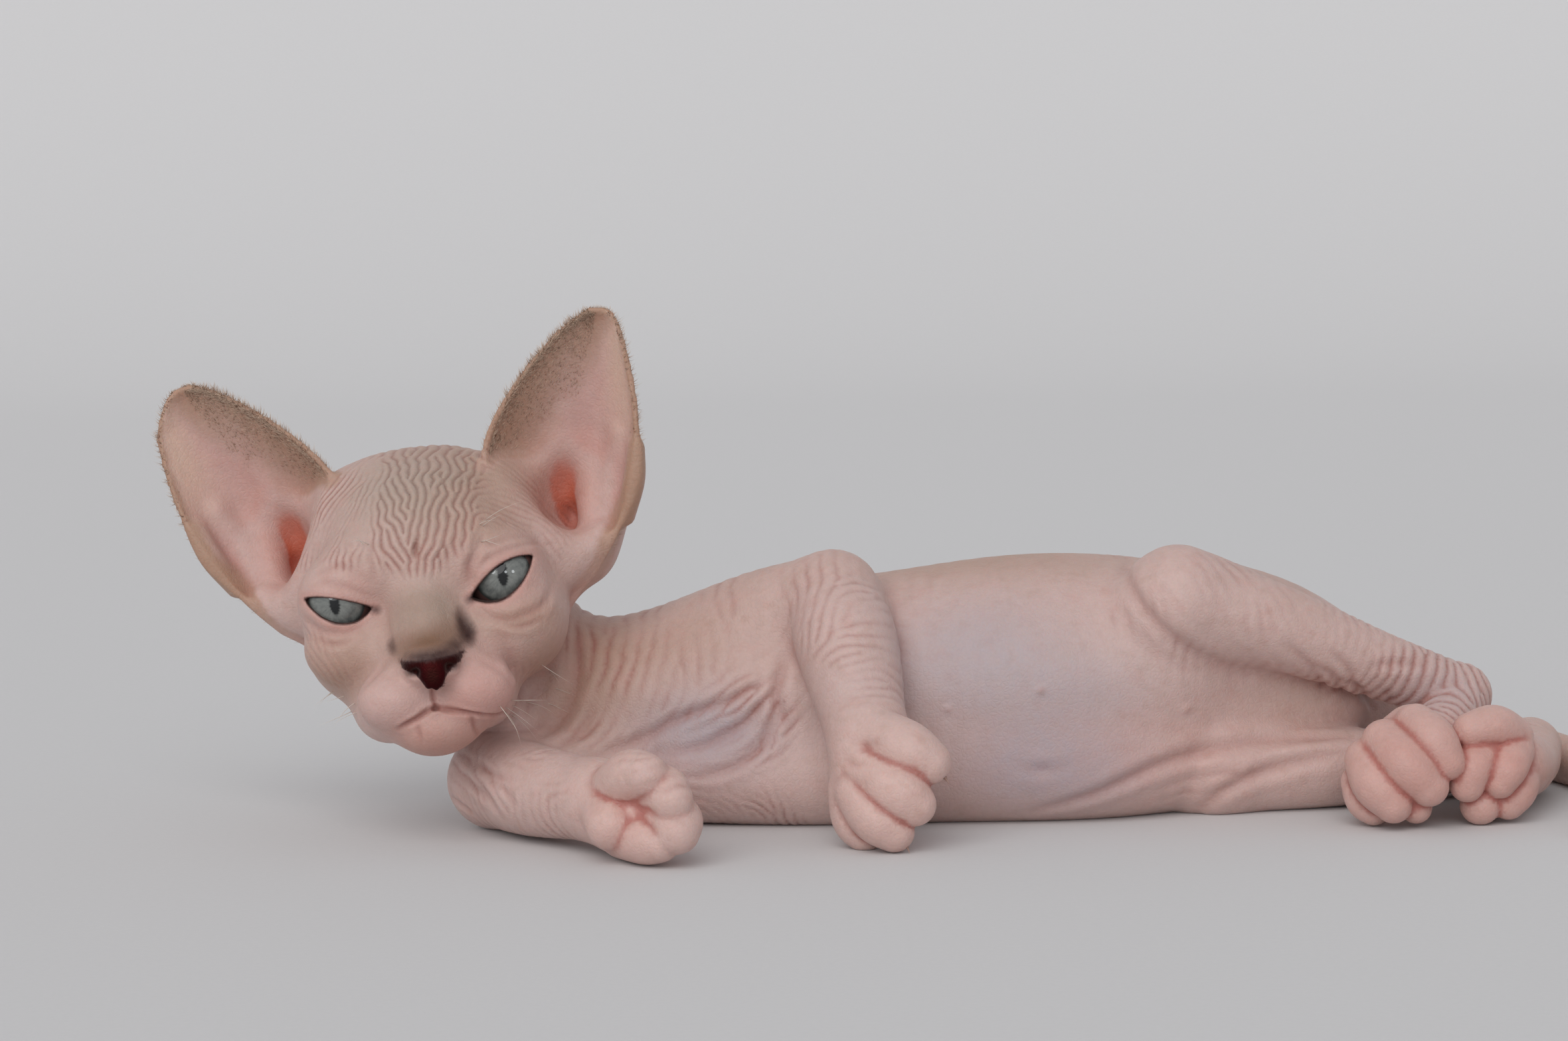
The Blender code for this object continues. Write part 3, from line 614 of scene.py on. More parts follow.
@dataclass(frozen=True)
class Paw:
    """A paw's palm and toes, each as rows from its root to its tip.

    A row is a place in the camera's frame, its depth, which is the model's Y, and a radius in mm. Claws show
    on the toes that are listed.
    """

    name: str
    palm: tuple[tuple[float, float, float, float], ...]
    toes: tuple[tuple[tuple[float, float, float, float], ...], ...]
    claws: tuple[int, ...] = ()

    def add_to(self, flesh: Flesh, view: View) -> None:
        """Blends the paw on."""
        for rows, softness in ((self.palm, 3.0), *((toe, 0.7) for toe in self.toes)):
            flesh.limb([(*view.spot(*row[:3]), row[3], row[3] * 0.97, softness) for row in rows])

    def tip(self, toe: int, view: View) -> tuple[np.ndarray, np.ndarray]:
        """Finds a toe's claw.

        Args:
            toe: The toe's number.
            view: The photo's camera.

        Returns:
            Where the claw starts, and which way it points.
        """
        rows = self.toes[toe]
        before, last = view.spot(*rows[-2][:3]), view.spot(*rows[-1][:3])
        along = unit(unit(last - before) + (0, -0.2, -0.25))
        return last + along * (rows[-1][3] - 0.9), along


PAWS = (
    Paw(
        "left_fore", ((1107, 935, -46, 8.8), (1108, 972, -49, 9.0), (1102, 1006, -50, 8.0)),
        (
            ((1124, 940, -51, 6.4), (1157, 956, -56, 6.6), (1184, 972, -57, 5.3)),
            ((1112, 985, -54, 6.2), (1144, 1007, -59, 6.6), (1166, 1026, -60, 5.1)),
            ((1098, 1012, -54, 6.0), (1119, 1042, -58, 6.2), (1140, 1061, -59, 4.8)),
            ((1086, 1008, -50, 5.4), (1092, 1044, -52, 5.6), (1103, 1063, -53, 4.5)),
        ), (0, 2)),
    Paw(
        "right_fore", ((764, 1021, -50, 9.2), (798, 1038, -58, 9.8), (816, 1044, -62, 8.6)),
        (
            ((790, 1006, -58, 6.4), (806, 990, -66, 6.2), (824, 988, -71, 4.9)),
            ((822, 1010, -62, 6.0), (846, 1008, -69, 5.7), (858, 1022, -73, 4.6)),
            ((834, 1040, -63, 6.3), (860, 1046, -70, 6.2), (864, 1062, -73, 5.0)),
            ((798, 1062, -62, 6.2), (824, 1072, -69, 5.6), (842, 1076, -72, 4.4)),
            ((772, 1030, -58, 6.0), (780, 1052, -66, 5.8)),
        )),
    Paw(
        "left_hind", ((1802, 938, -30, 7.4), (1790, 960, -34, 8.8), (1776, 985, -36, 8.4)),
        (
            ((1806, 924, -36, 4.9), (1828, 944, -42, 5.4), (1846, 972, -44, 4.3)),
            ((1766, 946, -37, 5.3), (1794, 974, -44, 6.0), (1822, 1003, -45, 4.8)),
            ((1744, 970, -36, 5.3), (1756, 1000, -42, 5.7), (1777, 1026, -44, 4.5)),
            ((1735, 998, -34, 4.5), (1742, 1020, -37, 4.7), (1752, 1032, -38, 3.9)),
            ((1800, 1016, -40, 4.4), (1806, 1030, -41, 3.8)),
        )),
    Paw(
        "right_hind", ((1937, 975, -20, 7.5), (1915, 975, -28, 9.0), (1905, 990, -30, 8.4)),
        (
            ((1930, 938, -32, 4.7), (1905, 926, -37, 5.0), (1876, 932, -39, 4.3)),
            ((1900, 962, -36, 4.9), (1878, 978, -41, 5.0), (1871, 1001, -42, 4.1)),
            ((1930, 958, -34, 4.9), (1922, 978, -40, 4.9), (1913, 997, -41, 4.0)),
            ((1938, 990, -30, 4.9), (1934, 1008, -36, 4.8), (1924, 1023, -37, 4.2)),
            ((1900, 1012, -34, 5.2), (1888, 1027, -38, 4.7)),
        )),
)


@dataclass
class KittenForm:
    """The flesh of the whole kitten, with how far before an eyeball's middle its lids are cut, how softly."""

    view: View
    lid_cut: float = 3.2
    lid_edge: float = 0.7

    def surface(self) -> tuple[np.ndarray, np.ndarray, np.ndarray]:
        """Builds the skin's first shape.

        Returns:
            Its corners in millimetres, its triangles and its quads.
        """
        body = Flesh(COARSE_STEP, GRID_COUNTS)
        self.add_trunk(body)
        self.add_legs(body)
        body = body.refined()
        self.add_feet(body)
        for paw in PAWS:
            paw.add_to(body, self.view)
        columns = int((HEAD_END - GRID_LOW[0]) / body.step)
        head = Flesh(body.step, (columns, *body.counts[1:]))
        self.add_skull(head)
        self.add_face(head)
        for ear in EARS:
            ear.add_to(head)
        body.join(head, NECK_TOP, NECK_REACH, NECK_FILLET)
        height = body.low[2] + body.step * np.arange(body.counts[2], dtype=np.float32)
        body.distance = np.maximum(body.distance, FLOOR - height)
        return body.surface()

    def add_trunk(self, flesh: Flesh) -> None:
        """Builds torso, haunches, neck, the soft underside, the fold from belly to knee and the groin.

        Args:
            flesh: The body's flesh.
        """
        flesh.limb([
            (-42, 6, 28, 18, 16, 8), (-28, 4, 26, 24, 21, 8), (-5, 2, 27, 28, 25.5, 8),
            (25, 1, 28, 30, 28, 8), (55, 1, 29.5, 34, 30, 8), (78, 4, 29, 32, 29.5, 8),
            (98, 11, 27, 27, 26.5, 8), (117, 19, 22, 22, 22, 8), (134, 26, 17, 19, 17, 8),
            (148, 31, 13, 15, 13, 8), (158, 36, 10.5, 10, 9.5, 8),
        ])
        flesh.limb([(-36, 4, 27, 20, 16, 6), (-52, 4, 33, 17, 14.5, 6), (-66, 3, 42, 17, 16, 6)])
        flesh.limb([(-40, -6, 17, 10, 11, 6), (-54, -5, 22, 10, 11, 6), (-66, -4, 31, 9, 9, 6)])
        flesh.limb([
            (-22, -15, 11, 12, 11, 8), (5, -17, 11, 14, 12, 8), (35, -16, 12, 15, 13, 8),
            (70, -15, 13, 17, 14, 8), (98, -6, 12, 14, 12, 8),
        ])
        flesh.ellipsoid((84, -12, 38), (14, 14, 15), 10)
        flesh.ellipsoid((113, 0, 23), (24, 12, 13), 10)
        flesh.ellipsoid((-12, 19.5, 36), (14, 7, 12), 6)
        flesh.ellipsoid((123, 33.5, 29), (9, 6, 8), 6)
        flesh.limb([
            (*spot, 3, 3, 6) for spot in (
                (-24, 24, 28), (-5, 28.6, 28), (25, 29.8, 29), (55, 33.6, 30.5), (78, 34.8, 30),
                (98, 36.8, 27.5), (117, 39.6, 22.5), (134, 43.4, 17),
            )
        ])

    def add_legs(self, flesh: Flesh) -> None:
        """Builds the four legs down to wrist and hock.

        Args:
            flesh: The body's flesh.
        """
        flesh.limb([(*SHOULDER_LEFT, 13, 13, 10), (-6, -6, 45, 12.5, 12.5, 8), (*ELBOW_LEFT, 10.5, 10.5, 5)])
        flesh.limb([(*ELBOW_LEFT, 10.5, 10.5, 4), (14, -28, 42.5, 11.8, 11.8, 2), (*WRIST_LEFT, 9, 9, 1)])
        flesh.limb([(*SHOULDER_RIGHT, 13, 13, 8), (-50, -12, 12.5, 11.5, 11.5, 4), (*ELBOW_RIGHT, 11, 11, 2)])
        flesh.limb([(*ELBOW_RIGHT, 11, 11, 3), (-58, -35, 11.5, 10.5, 10.5, 1), (*WRIST_RIGHT, 9, 9, 1)])
        flesh.limb([(*HIP_LEFT, 13, 13, 8), (116, 4, 38, 15, 14, 8), (*KNEE_LEFT, 11.5, 11.5, 6)])
        flesh.limb([
            (*KNEE_LEFT, 11.5, 11.5, 5), (112, -17, 44.5, 10, 10, 3), (137, -10, 34, 8, 8, 1),
            (*HOCK_LEFT, 7, 7, 1),
        ])
        flesh.limb([(*HIP_RIGHT, 13, 13, 8), (116, 6, 11, 14, 13, 8), (*KNEE_RIGHT, 11, 11, 5)])
        flesh.limb([
            (*KNEE_RIGHT, 11, 11, 5), (128, -10, 9.5, 10, 9.5, 3), (152, -2, 8, 7.5, 7.5, 1),
            (*HOCK_RIGHT, 7, 7, 1),
        ])

    def add_feet(self, flesh: Flesh) -> None:
        """Builds the tail, and the feet from hock to toes.

        Args:
            flesh: The body's flesh.
        """
        flesh.limb([(*HOCK_LEFT, 7.4, 7.4, 1), (152, -18, 18, 6.8, 6.8, 1), (146, -29, 14, 7.6, 7.6, 1)])
        flesh.limb([(*HOCK_RIGHT, 7.4, 7.4, 1), (174, -13, 10, 6.6, 6.6, 1), (168, -26, 11, 7.2, 7.2, 1)])
        flesh.limb([
            (150, 35, 12, 9, 9, 6), (164, 38, 9.5, 7.5, 7.5, 4), (178, 32, 6.5, 6.4, 6.4, 2),
            (188, 16, 5.4, 5.8, 5.8, 1), (193, -5, 4.8, 5.2, 5.2, 1), (192, -26, 4.1, 4.5, 4.5, 1),
            (186, -45, 3.3, 3.6, 3.6, 1), (180, -57, 2.5, 2.8, 2.8, 1),
        ])

    def add_skull(self, flesh: Flesh) -> None:
        """Builds the head's back half, and the roots of the ears with the hollow in front of each.

        Args:
            flesh: The head's flesh.
        """
        put = partial(flesh.ellipsoid, frame=SKULL)
        put((0, 25, 9), (28, 31, 26), 5)
        put((0, 8, 11), (21, 18, 17), 6)
        put((0, 36, -4), (20, 18, 18), 8)
        put((-12, 20, 20), (14, 14, 13), 8)
        for side in (-1, 1):
            lean = rotation("Y", -side * 35)
            put((side * 18, 10, -7), (13, 18, 15), 7)
            put((side * 27.3, 20, 12.5), (8.2, 12.5, 18.5), 8, lean)
            put((side * 35, 8, 19.5), (7.5, 13, 17), 4, lean, True)

    def add_face(self, flesh: Flesh) -> None:
        """Builds brows, bridge, muzzle, chin, lids, nose and nostrils.

        Args:
            flesh: The head's flesh.
        """
        flesh.ellipsoid((-66, -11, 24), (9, 9, 8), 6)
        put = partial(flesh.ellipsoid, frame=FACE)
        put((0.3, -5, -5), (7.5, 15, 8.5), 7, rotation("X", 35))
        put((0.3, -8, -17), (13, 12, 10), 6)
        put((-0.6, -12, -30.5), (9.8, 9.5, 7), 5)
        for side in (-1, 1):
            put((side * 13, 0, 6), (10.5, 8.5, 7), 6)
            put((side * 17, -2, -11), (11, 8, 8), 6)
            put((side * 10 - 1, 2, -26), (9, 16, 8.5), 6)
            put((side * 8.8 + 0.3, -14, -23), (9.2, 8.4, 7.2), 3.0)
            put((side * EYE_OUT, EYE_FORWARD, 0), (EYE_RADIUS + LID_DEPTH,) * 3, 3)
        put((0.6, -20.5, -15.6), (6.6, 5.4, 4.8), 2.5)
        put((0.7, -25.2, -17.6), (3.0, 1.6, 3.6), 1.5)
        for side in (-1, 1):
            put((0.8 + side * 4.6, -24.6, -17.0), (1.9, 2.2, 1.0), 0.8, rotation("Y", side * 28), True)
        for almond in ALMONDS:
            self.open_eye(flesh, almond)

    def open_eye(self, flesh: Flesh, almond: Almond) -> None:
        """Cuts the opening between the lids down to the eyeball.

        Args:
            flesh: The head's flesh.
            almond: The opening.
        """
        middle = FACE.out(eye_place(almond.side))
        reach = EYE_RADIUS + 8
        region, points = flesh.window(middle - reach, middle + reach)
        local = almond.local(FACE.into(points))
        opening = almond.distance(local)
        behind = local[..., 1] + self.lid_cut
        flesh.carve(region, np.maximum(opening, behind).astype(np.float32), self.lid_edge)


@dataclass
class Shape:
    """A mesh as arrays, with what is asked of its surface and the search trees for it."""

    corners: np.ndarray
    polygons: list[list[int]]

    def __post_init__(self) -> None:
        """Works out the edges and the first normals."""
        form = bpy.data.meshes.new("shape")
        form.from_pydata(self.corners, [], self.polygons)
        self.edges = np.empty(len(form.edges) * 2, np.int32)
        form.edges.foreach_get("vertices", self.edges)
        self.edges = self.edges.reshape(-1, 2)
        self.mesh = form
        self.refresh()

    def refresh(self) -> None:
        """Sets the mesh's corners and reads its normals again."""
        self.mesh.vertices.foreach_set("co", self.corners.astype(np.float32).ravel())
        self.mesh.update()
        normals = np.empty(len(self.corners) * 3, np.float32)
        self.mesh.vertex_normals.foreach_get("vector", normals)
        self.normals = normals.reshape(-1, 3).astype(float)

    def relax(self, rounds: int, share: float, back: float = 1.04) -> None:
        """Evens the surface out towards the middle of each corner's neighbours.

        Args:
            rounds: How often.
            share: How far a corner moves there each time.
            back: The share of that by which it swells again, against shrinking.
        """
        count = len(self.corners)
        first, second = self.edges.T
        degree = np.maximum(np.bincount(self.edges.ravel(), minlength=count), 1)[:, None]
        for turn in range(rounds * 2):
            total = np.zeros_like(self.corners)
            for k in range(3):
                total[:, k] = np.bincount(first, self.corners[second, k], count)
                total[:, k] += np.bincount(second, self.corners[first, k], count)
            factor = share if turn % 2 == 0 else -share * back
            self.corners = self.corners + (total / degree - self.corners) * factor

    def hollow(self, rounds: int, full: float) -> np.ndarray:
        """Finds hollows.

        Args:
            rounds: How far round each corner to look, in edges.
            full: How many mm below its surroundings a corner counts as 1.

        Returns:
            How far each corner lies in a hollow, from 0 to 1.
        """
        kept = self.corners
        self.relax(rounds, 0.6, 0.0)
        above = ((self.corners - kept) * self.normals).sum(1)
        self.corners = kept
        return np.clip(above / full, 0, 1)

    def watch(self) -> None:
        """Prepares the search trees."""
        self.tree = BVHTree.FromPolygons([tuple(c) for c in self.corners], self.polygons)
        self.points = KDTree(len(self.corners))
        for index, corner in enumerate(self.corners):
            self.points.insert(corner, index)
        self.points.balance()

    def near(self, place: Sequence[float], reach: float) -> tuple[np.ndarray, np.ndarray]:
        """Finds the corners round a place.

        Args:
            place: The place.
            reach: How far from it to look.

        Returns:
            The corners' numbers, and how far each is.
        """
        found = self.points.find_range(place, reach)
        index = np.fromiter((f[1] for f in found), int, len(found))
        away = np.fromiter((f[2] for f in found), float, len(found))
        return index, away

    def seen(self, view: View, across: float, down: float) -> tuple[np.ndarray, np.ndarray] | None:
        """Finds the surface behind a point of the camera's frame.

        Args:
            view: The camera.
            across: The point's column.
            down: Its row.

        Returns:
            The place and the normal, or nothing where it misses.
        """
        start, along = view.ray(across, down)
        place, normal, _, _ = self.tree.ray_cast(start, along)
        return None if place is None else (np.array(place), np.array(normal))

    def nearest(self, place: Sequence[float]) -> tuple[np.ndarray, np.ndarray]:
        """The surface's place nearest to a point, and its normal."""
        found, normal, _, _ = self.tree.find_nearest(Vector(place))
        return np.array(found), np.array(normal)


@dataclass(frozen=True)
class Guide:
    """A line that creases run along, with the creases' spacing, height and the guide's reach in mm.

    Its points are two numbers in the camera's frame, or three in the model's.
    """

    points: tuple[tuple[float, ...], ...]
    spacing: float
    height: float
    reach: float
    wander: float = 13.0


@dataclass(frozen=True)
class Rings:
    """Creases that run round a limb between two places, with spacing, height and reach from its axis."""

    start: Point
    end: Point
    spacing: float
    height: float
    reach: float


GUIDES = (
    # Crown, from its top down to the brows.
    Guide(((532, 554), (526, 600), (522, 650), (530, 708)), 1.9, 0.5, 8, 24),
    Guide(((568, 558), (564, 610), (560, 660), (546, 708)), 1.95, 0.5, 7, 24),
    Guide(((496, 570), (488, 620), (490, 660), (508, 708)), 1.85, 0.46, 7, 20),
    Guide(((600, 570), (592, 605), (588, 640), (572, 684)), 1.95, 0.46, 7, 24),
    Guide(((466, 590), (440, 625), (412, 660), (396, 700)), 1.75, 0.32, 9, 14),
    Guide(((482, 582), (466, 630), (450, 670), (440, 705)), 1.8, 0.36, 7, 16),
    Guide(((620, 640), (650, 650), (680, 668), (705, 690)), 1.8, 0.22, 9, 14),
    Guide(((600, 640), (625, 630), (660, 640), (690, 655)), 1.9, 0.3, 7, 20),
    Guide(((615, 570), (650, 590), (685, 620), (715, 655)), 1.9, 0.22, 9, 16),
    Guide(((560, 552), (545, 548), (530, 550)), 2.2, 0.36, 6, 20),
    # Cheeks, under the bags of the eyes.
    Guide(((704, 778), (690, 815), (672, 850), (664, 872)), 1.9, 0.14, 7, 16),
    Guide(((664, 800), (662, 830), (664, 858)), 2.0, 0.12, 6, 16),
    Guide(((392, 800), (412, 840), (436, 872)), 1.9, 0.14, 7, 16),
    Guide(((-84, -16, 83), (-84, -6, 83), (-82, 6, 80)), 2.8, 0.34, 13, 24),
    # Neck and chest.
    Guide(((735, 800), (742, 850), (740, 900), (720, 950)), 3.0, 0.4, 10),
    Guide(((790, 800), (800, 850), (795, 890), (770, 940)), 3.3, 0.3, 11),
    Guide(((850, 800), (860, 840), (850, 880)), 3.6, 0.2, 12),
    Guide(((985, 860), (930, 880), (870, 905), (800, 940), (730, 958)), 2.7, 0.32, 10),
    Guide(((985, 880), (940, 920), (880, 950), (780, 975), (700, 975)), 2.8, 0.34, 10),
    Guide(((990, 900), (960, 950), (920, 975), (850, 985)), 2.7, 0.3, 10),
    Guide(((900, 990), (950, 1000), (985, 1030), (1000, 1065)), 2.1, 0.26, 9),
    Guide(((885, 1010), (925, 1025), (945, 1050), (955, 1075)), 2.0, 0.26, 8),
    Guide(((640, 975), (690, 985), (740, 990)), 2.8, 0.18, 8),
    Guide(((590, 975), (615, 1000), (640, 1030)), 3.0, 0.22, 8),
    # Upper side: flank, thigh and the fold of the groin.
    Guide(((1040, 700), (1036, 760), (1030, 820)), 3.6, 0.2, 12),
    Guide(((1440, 705), (1446, 740), (1455, 780)), 3.2, 0.26, 12),
    Guide(((1530, 712), (1560, 740), (1580, 790)), 3.4, 0.2, 12),
    Guide(((1600, 750), (1620, 790), (1620, 830)), 3.4, 0.2, 12),
    Guide(((1500, 980), (1600, 950), (1700, 938)), 3.8, 0.2, 12),
    Guide(((1150, 700), (1145, 780), (1150, 860)), 4.4, 0.1, 14),
    # The back: loose skin over shoulders, spine and rump.
    Guide(((-20, 20, 45), (-16, 27, 30), (-12, 28, 14)), 3.8, 0.26, 16),
    Guide(((10, 24, 48), (12, 31, 30), (14, 29, 12)), 4.6, 0.16, 16),
    Guide(((50, 30, 50), (52, 36, 32), (54, 33, 14)), 5.0, 0.1, 18),
    Guide(((105, 34, 36), (110, 38, 24), (114, 36, 12)), 4.4, 0.18, 18),
)

RINGS = (
    Rings((12, -20, 48), (17, -42, 28), 2.3, 0.2, 13),
    Rings((-66, -22, 11.5), (-46, -47, 11.5), 2.6, 0.2, 13),
    Rings((122, -14, 41), (158, -5, 25), 2.7, 0.32, 12),
    Rings((158, -5, 25), (150, -22, 16.5), 2.4, 0.28, 10),
    Rings((150, -3, 8), (177, 3, 10.5), 2.6, 0.26, 11),
    Rings((176, 3, 10), (170, -22, 10), 2.4, 0.2, 10),
    Rings((-32, 5, 26), (-60, 3, 38), 3.2, 0.32, 26),
    Rings((164, 38, 9.5), (190, 12, 5.4), 2.6, 0.15, 10),
    Rings((92, -18, 48), (112, -16, 44), 3.6, 0.22, 14),
    Rings((-16, 2, 30), (-34, 4, 28), 4.0, 0.24, 34),
)


@dataclass
class Creases:
    """Fine creases over the skin: waves that run along guides and join up as creased skin does.

    A wave starts in each cell, and the phases settle in rounds. Where the guides are weaker than least, the
    skin stays smooth. A step of a guide over longest is left out.
    """

    shape: Shape
    view: View
    cell: float = 1.35
    rounds: int = 26
    least: float = 0.06
    longest: float = 14.0
    steady: float = 19.0

    def marks(self) -> np.ndarray:
        """Lays the guides over the skin.

        Returns:
            Rows of place, direction, normal, spacing, height, reach and wander.
        """
        rows = []
        for guide in GUIDES:
            spots = smooth_path(guide.points, 5)
            found = [self.shape.seen(self.view, *p) if len(p) == 2 else self.shape.nearest(p) for p in spots]
            found = [f for f in found if f]
            for a, b in zip(found, found[1:]):
                along = b[0] - a[0]
                if np.linalg.norm(along) > self.longest:
                    continue
                spot = (*((a[0] + b[0]) / 2), *unit(along), *a[1])
                rows.append((*spot, guide.spacing, guide.height, guide.reach, guide.wander))
        for ring in RINGS:
            start, end = np.array(ring.start), np.array(ring.end)
            along = unit(end - start)
            side = unit(np.cross(along, (0.13, 0.2, 1)))
            up = np.cross(along, side)
            steps = max(2, int(np.linalg.norm(end - start) / 4))
            for k in range(steps + 1):
                middle = start + (end - start) * k / steps
                for turn in np.arange(12) / 12 * 2 * np.pi:
                    out = side * math.cos(turn) + up * math.sin(turn)
                    place, normal, _, _ = self.shape.tree.ray_cast(Vector(middle), Vector(out), ring.reach)
                    if place is None or np.dot(normal, out) < 0.2:
                        continue
                    ridge = np.cross(along, out)
                    rows.append((
                        *place, *ridge, *normal, ring.spacing, ring.height, ring.reach * 0.45, Guide.wander))
        return np.array(rows)

    def kernels(self, draw: np.random.Generator) -> dict[str, np.ndarray]:
        """Starts the waves.

        Args:
            draw: The source of chance.

        Returns:
            The waves' places and normals, with the wave vector, height and spacing of each.
        """
        corners, normals = self.shape.corners, self.shape.normals
        order = draw.permutation(len(corners))
        cells = np.floor(corners[order] / self.cell).astype(int)
        _, first = np.unique(cells, axis=0, return_index=True)
        chosen = order[np.sort(first)]
        place, normal = corners[chosen], normals[chosen]
        marks = self.marks()
        weight = self.nearness(place, normal, marks)
        total = weight.sum(1)
        kept = weight.max(1) > self.least
        weight, total, place, normal = weight[kept], total[kept], place[kept], normal[kept]
        share = weight / total[:, None]
        spacing, height, wander = share @ marks[:, 9], share @ marks[:, 10], share @ marks[:, 12]
        patchy = np.clip(0.72 + 0.6 * self.drift(place, draw, 17), 0.1, 1.3)
        height = height * ramp(weight.max(1), self.least, 0.55) * np.where(wander > self.steady, 1, patchy)
        direction = marks[:, 3:6]
        tensor = np.einsum("km,mi,mj->kij", weight**1.5, direction, direction)
        flat = np.eye(3) - normal[:, :, None] * normal[:, None, :]
        tensor = flat @ tensor @ flat
        ridge = np.linalg.eigh(tensor)[1][:, :, 2]
        across = unit(np.cross(normal, ridge))
        angle = (np.radians(wander) * self.drift(place, draw, 6.5))[:, None]
        across = unit(across * np.cos(angle) + unit(np.cross(normal, across)) * np.sin(angle))
        thin = draw.random(len(place)) < np.clip((self.cell / (0.58 * spacing)) ** 2, 0.15, 1)
        wave = across * (2 * np.pi / spacing)[:, None]
        made = {"place": place, "normal": normal, "wave": wave, "height": height, "spacing": spacing}
        return {name: values[thin] for name, values in made.items()}

    @staticmethod
    def nearness(place: np.ndarray, normal: np.ndarray, marks: np.ndarray, batch: int = 400) -> np.ndarray:
        """Weighs the marks, in batches of places to save memory.

        Args:
            place: The places.
            normal: Their normals.
            marks: Rows of the guides' places.
            batch: How many places go at a time.

        Returns:
            How strongly each mark guides each place.
        """
        made = np.empty((len(place), len(marks)), np.float32)
        for part in np.array_split(np.arange(len(place)), max(1, len(place) // batch)):
            away = np.linalg.norm(place[part, None] - marks[None, :, :3], axis=2) / marks[:, 11]
            facing = np.clip(normal[part] @ marks[:, 6:9].T, 0, 1) ** 0.5
            made[part] = np.exp(-2.2 * away**2) * facing
        return made

    @staticmethod
    def drift(place: np.ndarray, draw: np.random.Generator, length: float) -> np.ndarray:
        """Makes a random change over the places, in waves.

        Args:
            place: The places.
            draw: The source of chance.
            length: About how long the waves are.

        Returns:
            The change at each place, about -1 to 1.
        """
        total = np.zeros(len(place))
        for _ in range(10):
            wave = draw.normal(size=3) * 2 * np.pi / length / 1.6
            total += np.sin(place @ wave + draw.random() * 2 * np.pi)
        return total / 3.2

    def settle(self, waves: dict[str, np.ndarray], draw: np.random.Generator) -> np.ndarray:
        """Lets neighbouring waves run on into one another.

        Args:
            waves: The waves.
            draw: The source of chance.

        Returns:
            The phase of each wave.
        """
        place, wave, spacing = waves["place"], waves["wave"], waves["spacing"]
        tree = KDTree(len(place))
        for index, spot in enumerate(place):
            tree.insert(spot, index)
        tree.balance()
        first, second = [], []
        for index, spot in enumerate(place):
            near = [f[1] for f in tree.find_range(spot, spacing[index] * 1.3) if f[1] != index]
            first += [index] * len(near)
            second += near
        first, second = np.array(first), np.array(second)
        step = place[first] - place[second]
        same = np.sign(np.einsum("ij,ij->i", wave[first], wave[second]))
        half = (wave[first] * same[:, None] + wave[second]) / 2
        carried = np.einsum("ij,ij->i", half, step)
        pull = np.exp(-((np.linalg.norm(step, axis=1) / (0.8 * spacing[first])) ** 2))
        phase = draw.random(len(place)) * 2 * np.pi
        for _ in range(self.rounds):
            told = pull * np.exp(1j * same * (phase[second] + carried))
            heard = np.bincount(first, told.real, len(place)) + 1j * np.bincount(first, told.imag, len(place))
            change = draw.random(len(place)) < 0.5
            phase = np.where(change & (np.abs(heard) > 1e-6), np.angle(heard), phase)
        return phase

    def heights(self, draw: np.random.Generator) -> tuple[np.ndarray, np.ndarray]:
        """Adds up the waves at each corner.

        Args:
            draw: The source of chance.

        Returns:
            How high each corner stands, below 0 between crests, and how much painted shade and red tint its
            creasing brings to the colour.
        """
        waves = self.kernels(draw)
        phase = self.settle(waves, draw)
        count = len(self.shape.corners)
        wanted = np.zeros((count, 3))
        total = np.zeros(count, complex)
        weight, height = np.zeros(count), np.zeros(count)
        for k, spot in enumerate(waves["place"]):
            reach = waves["spacing"][k] * 1.15
            index, away = self.shape.near(spot, reach)
            if not len(index):
                continue
            wave = waves["wave"][k]
            fresh = ~wanted[index].any(1)
            wanted[index[fresh]] = wave
            same = np.where(wanted[index] @ wave < 0, -1.0, 1.0)
            facing = np.clip(self.shape.normals[index] @ waves["normal"][k], 0, 1)
            fade = np.exp(-3.0 * (away / reach) ** 2) * facing
            angle = (self.shape.corners[index] - spot) @ wave + phase[k]
            total[index] += fade * np.exp(1j * same * angle)
            weight[index] += fade
            height[index] += fade * waves["height"][k]
        log.info("creases: %d waves", len(phase))
        there = weight > 0
        height[there] /= weight[there]
        clear = np.abs(total) / np.maximum(weight, 1e-6)
        height *= ramp(weight, 0.0, 0.9) * ramp(clear, 0.05, 0.45)
        crest = ((1 + np.cos(np.angle(total))) / 2) ** 0.6
        # Painted shade: the lower a corner lies between crests, the darker its colour.
        groove = (1 - crest) ** 2.2 * 1.25
        return height * (crest - 0.62), groove * ramp(height, 0.03, 0.5)


@dataclass(frozen=True)
class Fold:
    """A single fold or ridge of the skin along a line, with half its width and its depth in mm.

    Its points are in the camera's frame. A depth below 0 makes a ridge. Dark says how much its line is
    darkened: painted shade in folds and hollows, the skin's own tint on the nipples.
    """

    points: tuple[tuple[float, float], ...]
    width: float
    depth: float
    dark: float


